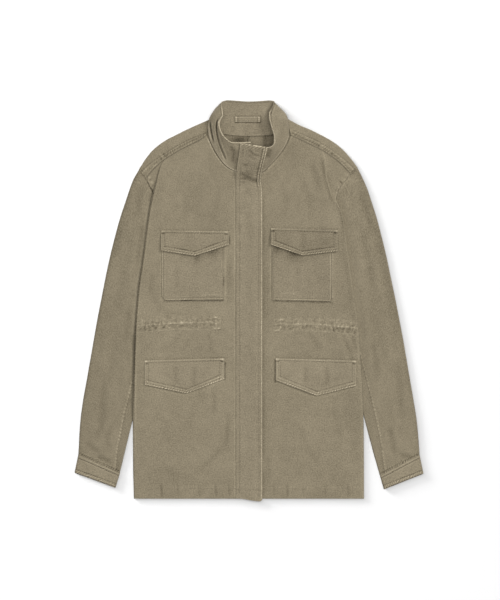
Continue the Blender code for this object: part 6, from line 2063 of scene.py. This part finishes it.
# ---------------------------------------------------------------- pockets and flaps
def build_pocket(i):
    side = "rl"[i]
    us, vs = places(62, 0.8, [(1.6, 2, 0.5), (60.4, 2, 0.5)]), places(62, 0.8, [(60, 3, 0.5)])
    grid = pocket_grid(i, us, vs)
    c, r = grid[..., 0], grid[..., 1]
    rel = body_drape(Relief(c, r))
    p = {k: a[i] for k, a in POCKETS.items()}
    left, right = p["low_col"], p["high_col"]
    bottom = p["low_bottom"], p["high_bottom"]
    # the edge towards the sleeve is crisp, the one towards the wind flap hardly shows
    sides = (1.0, 0.12) if i == 0 else (0.12, 1.0)
    for gap, width, depth, tone, beads in ((0.5, 0.6, -0.05, 0.42, 0.35), (1.6, 0.5, 0.18, -0.42, 0.25), (2.6, 0.6, -0.08, 0.30, 0.5)):
        rel.line([(left + gap, 240), (left + gap, bottom[0] - 3)], width, depth * sides[0], tone * sides[0], beads=beads, seed=171 + i)
        rel.line([(right - gap, 240), (right - gap, bottom[1] - 2)], width, depth * sides[1], tone * sides[1], beads=beads, seed=173 + i)
    faint = left if i else right
    inward = 1 if i else -1
    rel.add(-0.40 * np.exp(-(((c - faint) / 1.6) ** 2)), -0.14 * np.exp(-(((c - faint - 0.4 * inward) / 1.4) ** 2)))
    for gap, width, depth, tone, beads in ((0.2, 0.6, -0.05, -0.62, 0.4), (1.4, 0.6, -0.12, 0.46, 0.6), (2.5, 0.5, 0.16, -0.30, 0.4)):
        rel.line([(left + 4, bottom[0] - gap), (right - 1, bottom[1] - gap)], width, depth, tone, beads=beads, seed=175 + i)
    rel.pucker([(left + 1.8, 242), (left + 1.8, bottom[0])], 3.6, 0.26, 5.0, 0.3, 177, tone=0.04)
    rel.pucker([(right - 1.8, 242), (right - 1.8, bottom[1])], 3.6, 0.26, 5.0, 0.3, 178, tone=0.04)
    rel.pucker([(left, bottom[0] - 1.8), (right, bottom[1] - 1.8)], 3.6, 0.30, 4.6, 0.3, 179, tone=0.05)
    if i == 0:
        rel.line([(199, 295.4), (211, 294.8), (222, 295.2)], 0.6, -0.25, 0.26, beads=0.3, ends=5, seed=180)
        rel.line([(199, 297.4), (211, 296.8), (222, 297.2)], 0.6, 0.15, -0.12, beads=0.3, ends=5, seed=280)
        rel.line([(223.6, 275), (223.8, 287)], 0.6, 0.3, -0.55, ends=3, seed=181)
        rel.line([(225.2, 276), (225.4, 286)], 0.5, 0.1, 0.30, ends=3, seed=281)
        rel.marks([(180, bottom[0] - 0.4), (200, bottom[0] - 0.5), (226, bottom[1] - 0.5)], [(1, 16, 1.0), (24, 45, 0.6)], 0.8, -0.2, -0.35)
        rel.crease([(178, 262), (176, 278), (179, 294)], 3.0, 0.4, 0.3, 0.10)
        # the lifted half of the flap shades the cloth below it
        shade = [(192.5, 257.4), (196.5, 257.0), (206, 253.4), (216, 250.0), (227, 246.8)]
        spread = (5.6, 0.70)
    else:
        rel.line([(279, 293.6), (288, 293.2), (297, 293.8)], 0.7, -0.30, 0.26, beads=0.3, ends=4, seed=182)
        rel.line([(330.4, 253), (330.6, 272), (330.2, 291)], 0.6, -0.2, 0.22, beads=0.3, ends=5, seed=183)
        rel.spots([(334.0, 288.6, 5.0, 2.2, 80, 0.7)], 0.0, -0.30)
        rel.crease([(300, 262), (297, 280), (301, 296)], 3.0, 0.4, 0.3, 0.10)
        rel.add(0, -0.04)
        shade = [(273, 247.0), (284, 250.6), (294, 254.0), (303, 257.4)]
        spread = (5.4, 0.66)
    index, d, s, total = near(curved(shade), c, r, 13)
    along_it = (s / total) if i == 0 else (1 - s / total)
    weight = (0.75 + 0.25 * np.sin(s * 0.33 + 1)) * ease((s + 2) / 6) * ease((total - s + 2) / 6)
    fall_off = np.where(d > 0, np.exp(-((d / spread[0]) ** 1.3)), 1.0)
    rel._put(index, 0 * d, -spread[1] * weight * fall_off)
    sheet = Sheet(grid, rel, WALL, shown=1.0, seed=10 + i)
    obj = piece("chest_pocket_" + side, ["chest_pocket_" + side], "canvas_trim", sheet)
    return obj, sheet, p


def flap_paths(i, gap):
    """The flap's outline moved in by gap squares: top, low side, lower edge and high side."""
    f = {k: a[i] for k, a in FLAPS.items()}
    top = [(f["low_col"] + gap, f["low_top"] + gap), (f["high_col"] - gap, f["high_top"] + gap)]
    fall = [
        (f["low_col"] + gap, f["low_bottom"] - gap * 1.1),
        (f["tip_col"], f["tip_row"] - gap * 1.05),
        (f["high_col"] - gap, f["high_bottom"] - gap * 1.1),
    ]
    low = [(f["low_col"] + gap, f["low_top"] + gap), fall[0]]
    high = [(f["high_col"] - gap, f["high_top"] + gap), fall[2]]
    return top, low, fall, high


def build_flap(i):
    name = ("chest_flap_r", "chest_flap_l", "lower_flap_r", "lower_flap_l")[i]
    tip = tip_share(i)
    us = places(68, 0.55, [(1.5, 2, 0.42), (66.5, 2, 0.42), (68 * tip, 1.5, 0.4)])
    us = np.sort(np.append(us[np.abs(us - tip) > 0.003], tip))
    vs = places(26, 0.52, [(23.5, 3.5, 0.38)])
    grid = flap_grid(i, us, vs)
    c, r = grid[..., 0], grid[..., 1]
    rel = body_drape(Relief(c, r))
    rel.add(0.22 * noise(c, r, 9, 190 + i, 1.3), 0.03 * noise(c, r, 10, 194 + i))

    def straight(path, *args, **more):
        for a, b in zip(path[:-1], path[1:]):
            rel.line([a, b], *args, **more)

    # sides: an edge roll and two rows of stitches, further in where the edge is turned under
    turned = {(0, "high"): 2.2, (1, "low"): 1.2, (2, "high"): 1.0, (3, "low"): 1.0}
    for gap, width, depth, tone, beads in ((0.6, 0.6, -0.06, 0.30, 0.5), (1.6, 0.5, 0.10, -0.14, 0.3), (2.5, 0.6, -0.08, 0.16, 0.6), (3.5, 0.6, 0.22, -0.30, 0.35)):
        for k, name_ in enumerate(("low", "high")):
            g = gap + turned.get((i, name_), 0.0)
            path = flap_paths(i, g)[1 if name_ == "low" else 3]
            straight(path, width, depth, tone, beads=beads, seed=200 + i + 4 * k)
    straight(flap_paths(i, 0.5)[0], 0.6, -0.08, 0.34, beads=0.5, pitch=2.5, seed=210 + i)
    straight(flap_paths(i, 2.1)[0], 0.5, 0.25, -0.38, beads=0.5, pitch=2.6, seed=212 + i)
    # lower edge: two twisted light rows, a thin dark one between and a stitched groove above
    groove = -0.62 if i < 2 else -0.46
    for gap, width, depth, tone, beads in ((0.5, 0.6, -0.14, 0.42, 0.6), (1.6, 0.45, 0.15, -0.38, 0.5), (2.6, 0.6, -0.12, 0.34, 0.6), (3.9, 0.55, 0.28, groove, 0.35)):
        straight(flap_paths(i, gap)[2], width, depth, tone, beads=beads, pitch=2.6, seed=214 + i)
    rel.rope(flap_paths(i, 1.0)[2], 1.2, 0.22, 0.72, pitch=2.7, slant=1.0, seed=216 + i)
    rel.rope(flap_paths(i, 2.9)[2], 0.8, 0.15, 0.34, pitch=2.7, slant=1.0, seed=316 + i)
    rel.pucker(flap_paths(i, 2.0)[2], 4.0, 0.32, 4.4, 0.5, 218 + i, tone=0.05)
    f = {k: a[i] for k, a in FLAPS.items()}
    for col, row in ((f["low_col"] + 1.8, f["low_top"]), (f["high_col"] - 1.8 - turned.get((i, "high"), 0) * 0.4, f["high_top"])):
        rel.spots([(col, row + 0.9, 1.6, 1.0, 0, 1.0)], 0.2, 0.45)
        rel.spots([(col, row + 3.0, 2.0, 0.8, 0, 1.0)], -0.35, -0.75)
    rel.add(0, -0.12 if i < 2 else 0.05)
    if i == 2:
        rel.crease([(175.5, 363), (175, 374), (176, 386)], 2.4, 0.5, 0.3, 0.18)
        rel.crease([(194.5, 363), (194, 376), (193, 388)], 2.4, 0.5, 0.3, 0.18)
    if i == 3:
        rel.crease([(305.6, 363), (305.2, 375), (305, 388)], 2.2, 0.5, 0.3, 0.18)
        rel.crease([(327, 363), (327, 375), (326, 390)], 2.2, 0.5, 0.3, 0.18)
    if i == 1:
        rel.add(0, -0.08)
        rel.crease([(304, 231), (303, 240), (303, 252)], 2.4, 0.4, 0.3, 0.14)
    sheet = Sheet(grid, rel, WALL, shown=1.0, seed=14 + i)
    obj = piece(name, [name], "canvas_trim", sheet)
    return obj, sheet


def build_loop():
    cols = np.linspace(*LOOP["col"], 90)
    t = (cols - cols[0]) / (cols[-1] - cols[0])
    seat = 1.5 + 0.4 + COLLAR_LAYER + WALL / 2 + SEAM + LOOP["wall"] / 2
    z = seat + LOOP["rise"] * np.sin(math.pi * t) ** 0.7
    half = LOOP["width"] / 2 / MM
    across = np.linspace(-1, 1, 22)
    grid = np.stack([np.stack([cols, LOOP["row"] + s * half + 0 * cols, z], -1) for s in across], 1)
    rel = Relief(grid[..., 0], grid[..., 1])
    x = np.broadcast_to(across[None], grid.shape[:2])
    rel.add(-0.12 * x**6 + 0.16 * noise(grid[..., 0], grid[..., 1], 4, 221), 0.62 * (np.abs(x) > 0.80) - 0.40 * (np.abs(np.abs(x) - 0.62) < 0.12))
    ends = np.minimum(t, 1 - t) * 24.8
    rel.add(0, np.broadcast_to((0.75 * np.exp(-(((ends - 1.1) / 0.9) ** 2)) - 0.5 * np.exp(-(((ends - 2.6) / 0.5) ** 2)))[:, None], x.shape))
    rel.add(-0.25 * np.exp(-(((ends - 1.6) / 0.5) ** 2))[:, None] * np.ones_like(x), 0)
    sheet = Sheet(grid, rel, LOOP["wall"], shown=1.0, seed=19)
    obj = piece("hanger_loop", ["hanger_loop"], "canvas_trim", sheet)
    return obj, sheet


# ---------------------------------------------------------------- build
MADE = {}
for side in ("r", "l"):
    MADE["front_" + side] = build_front(side)
    MADE["back_" + side] = build_back(side)
    MADE["sleeve_" + side] = build_sleeve(side)
    MADE["cuff_" + side] = build_cuff(side)
MADE["collars"], collar_us, collar_vs = build_collar()
MADE["placket"] = build_placket()
for i in range(2):
    MADE["pocket", i] = build_pocket(i)
for i in range(4):
    MADE["flap", i] = build_flap(i)
MADE["loop"] = build_loop()

for name, slot in (("zip_tape_r", "zip_tape"), ("zip_tape_l", "zip_tape"), ("zip_chain", "brass"), ("zip_slider", "brass"), ("zip_pull", "brass")):
    obj = frame["nodes"][name]
    obj.data.materials.clear()
    obj.data.materials.append(MATERIAL[slot])

# ---------------------------------------------------------------- stitches
PITCH, THREAD = 3.2, 2.25  # millimetres from stitch to stitch, and of thread that shows


def row(group, sheet, path, first=None, last=None):
    sew(group, stitch_points(sheet, path, PITCH, THREAD, first, last))


def broken(group, sheet, path):
    """A row with corners: each straight stretch on its own."""
    for a, b in zip(path[:-1], path[1:]):
        row(group, sheet, [a, b])


for side in ("r", "l"):
    out = OUT[side]
    _, front, n = MADE["front_" + side]
    for line in WAIST[side]:
        row("front_" + side, front, line, 0, n)
    bar_cols, bar_top, bar_low = BARS[side]
    for col in bar_cols:
        row("front_" + side, front, [(col, bar_top), (col, bar_low)], 0, n)
    hem_cols = (142, 233.5) if side == "r" else (264.5, 361)
    row("front_" + side, front, [(hem_cols[0], HEM_ROW), (hem_cols[1], HEM_ROW)], 0, n)
    for off in (1.2, 3.5):
        row("front_" + side, front, [(a - out * off, b + 0.2) for a, b in ARMHOLE[side]], 0, n)
    _, _, roll = MADE["back_" + side]
    lane = curved(SEAM_ROWS[side], 2.0)
    seam = [(float(a), float(b)) for a, b in zip(*along(SHOULDER[side], np.linspace(0, 1, 16)))]
    low = curved(seam[::-1] if side == "r" else seam, 2.0)
    t = np.linspace(0.02, 0.98, 50)
    lane = np.stack([np.interp(t, np.linspace(0, 1, len(lane)), lane[:, i]) for i in (0, 1)], -1)
    low = np.stack([np.interp(t, np.linspace(0, 1, len(low)), low[:, i]) for i in (0, 1)], -1)
    for share in (0.85, 0.14):
        row("back_" + side, roll, (lane * share + low * (1 - share)).tolist())
    _, tube, n = MADE["sleeve_" + side]
    for off in (0.0, 2.6):
        row("sleeve_" + side, tube, [(a - out * off, b) for a, b in UNDERARM[side][:-1]], 0, n)
    _, tube, n, q, down = MADE["cuff_" + side]
    for a, b, gaps in ((q[0], q[1], (1.1, 2.9)), (q[3], q[2], (-0.9, -3.3))):
        for gap in gaps:
            inset = (b - a) / np.linalg.norm(b - a) * 1.0
            row("cuff_" + side, tube, [tuple(a + down * gap + inset), tuple(b + down * gap - inset)], 0, n)
for (obj, sheet), name in zip(MADE["collars"], ("collar", "collar_facing")):
    along_collar = np.linspace(0.006, 0.994, 500)
    for height in (0.972, 0.925) + ((0.05,) if name == "collar" else ()):
        sew(name, stitch_grid_points(sheet, along_collar, np.full(500, np.interp(height, collar_vs, np.linspace(0, 1, len(collar_vs)))), PITCH, THREAD))
_, sheet, in_path, out_path = MADE["placket"]
for path in (in_path(1.4), in_path(3.5), out_path(1.1), out_path(3.3)):
    row("placket", sheet, path)
for i in range(2):
    _, sheet, p = MADE["pocket", i]
    left, right, low_row, high_row = p["low_col"], p["high_col"], p["low_bottom"], p["high_bottom"]
    for gap in (1.1, 3.1):
        row("chest_pocket_" + "rl"[i], sheet, [(left + gap, 236), (left + gap, low_row - gap - 0.5)])
        row("chest_pocket_" + "rl"[i], sheet, [(right - gap, 236), (right - gap, high_row - gap - 0.5)])
        row("chest_pocket_" + "rl"[i], sheet, [(left + gap + 0.6, low_row - gap), (right - gap - 0.6, high_row - gap)])
for i, name in enumerate(("chest_flap_r", "chest_flap_l", "lower_flap_r", "lower_flap_l")):
    _, sheet = MADE["flap", i]
    row(name, sheet, flap_paths(i, 1.5)[0])
    for gap in (1.2, 3.2):
        top, low_side, fall, high_side = flap_paths(i, gap)
        row(name, sheet, low_side)
        row(name, sheet, high_side)
        broken(name, sheet, fall)
_, sheet = MADE["loop"]
for at in (-1.55, 1.55):
    row("hanger_loop", sheet, [(LOOP["col"][0] + 0.8, LOOP["row"] + at), (LOOP["col"][1] - 0.8, LOOP["row"] + at)])
for col in (LOOP["col"][0] + 1.0, LOOP["col"][0] + 1.6, LOOP["col"][1] - 1.0, LOOP["col"][1] - 1.6):
    row("hanger_loop", sheet, [(col, LOOP["row"] - 2.0), (col, LOOP["row"] + 2.0)])
THREADS = {name: make_stitches(name, items, seed=2 + k) for k, (name, items) in enumerate(sorted(STITCHES.items()))}

# ---------------------------------------------------------------- zip tape boxes
# The box of each zip tape's solid is looked up; nothing uses it.
for side in ("r", "l"):
    low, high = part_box("zip_tape_" + side)

# ---------------------------------------------------------------- floor, light and camera
KEY, OVERHEAD, WINDOW_LOW, WINDOW_HIGH, SKY = 340, 350, 760, 110, 0.36
bpy.ops.mesh.primitive_plane_add(size=8, location=(0, 0, -0.0003))
floor = bpy.context.object
floor.name = "floor"
paper = bpy.data.materials.new("paper")
paper.use_nodes = True
paper.node_tree.nodes["Principled BSDF"].inputs["Base Color"].default_value = (0.93, 0.93, 0.93, 1)
paper.node_tree.nodes["Principled BSDF"].inputs["Roughness"].default_value = 1.0
paper.node_tree.nodes["Principled BSDF"].inputs["Specular IOR Level"].default_value = 0.0
floor.data.materials.append(paper)


def area_light(name, place, size, power, target=(0, 0, 0)):
    data = bpy.data.lights.new(name, "AREA")
    data.shape = "RECTANGLE"
    data.size, data.size_y = size
    data.energy = power
    obj = bpy.data.objects.new(name, data)
    bpy.context.scene.collection.objects.link(obj)
    obj.location = place
    way = np.array(target, float) - np.array(place, float)
    from mathutils import Vector

    obj.rotation_euler = Vector(way).to_track_quat("-Z", "Y").to_euler()
    obj.visible_camera = False
    return obj


cloth_only = bpy.data.collections.new("lit_cloth")
floor_only = bpy.data.collections.new("lit_floor")
for obj in list(bpy.context.scene.objects):
    if obj.type == "MESH":
        (floor_only if obj == floor else cloth_only).objects.link(obj)

# a soft key from the upper right on the cloth, an even overhead light on both, and a low
# window from the upper left that only reaches the floor, for the soft shadow at lower right
key = area_light("key", (4.7, 3.6, 5.4), (3.2, 2.6), KEY)
key.light_linking.receiver_collection = cloth_only
area_light("overhead", (0.3, 0.6, 8.0), (6.5, 6.5), OVERHEAD)
low = area_light("window_low", (-6.4, 4.4, 1.75), (3.6, 2.0), WINDOW_LOW)
low.light_linking.receiver_collection = floor_only
high = area_light("window_high", (-5.4, 3.7, 4.5), (3.4, 2.9), WINDOW_HIGH)
high.light_linking.receiver_collection = floor_only

world = bpy.data.worlds.new("studio")
world.use_nodes = True
world.node_tree.nodes["Background"].inputs["Color"].default_value = (1, 1, 1, 1)
world.node_tree.nodes["Background"].inputs["Strength"].default_value = SKY
bpy.context.scene.world = world

camera = bpy.data.cameras.new("camera")
camera.type = "PERSP"
camera.sensor_fit = "VERTICAL"
camera.sensor_height = 24
camera.sensor_width = 36
camera.lens = 24 * 12 / 1.26
camera.clip_end = 60
camera.dof.use_dof = False
eye = bpy.data.objects.new("camera", camera)
eye.location = (0.0021, 0.0016, 12.0)
bpy.context.scene.collection.objects.link(eye)
bpy.context.scene.camera = eye
bpy.context.scene.view_settings.view_transform = "Standard"
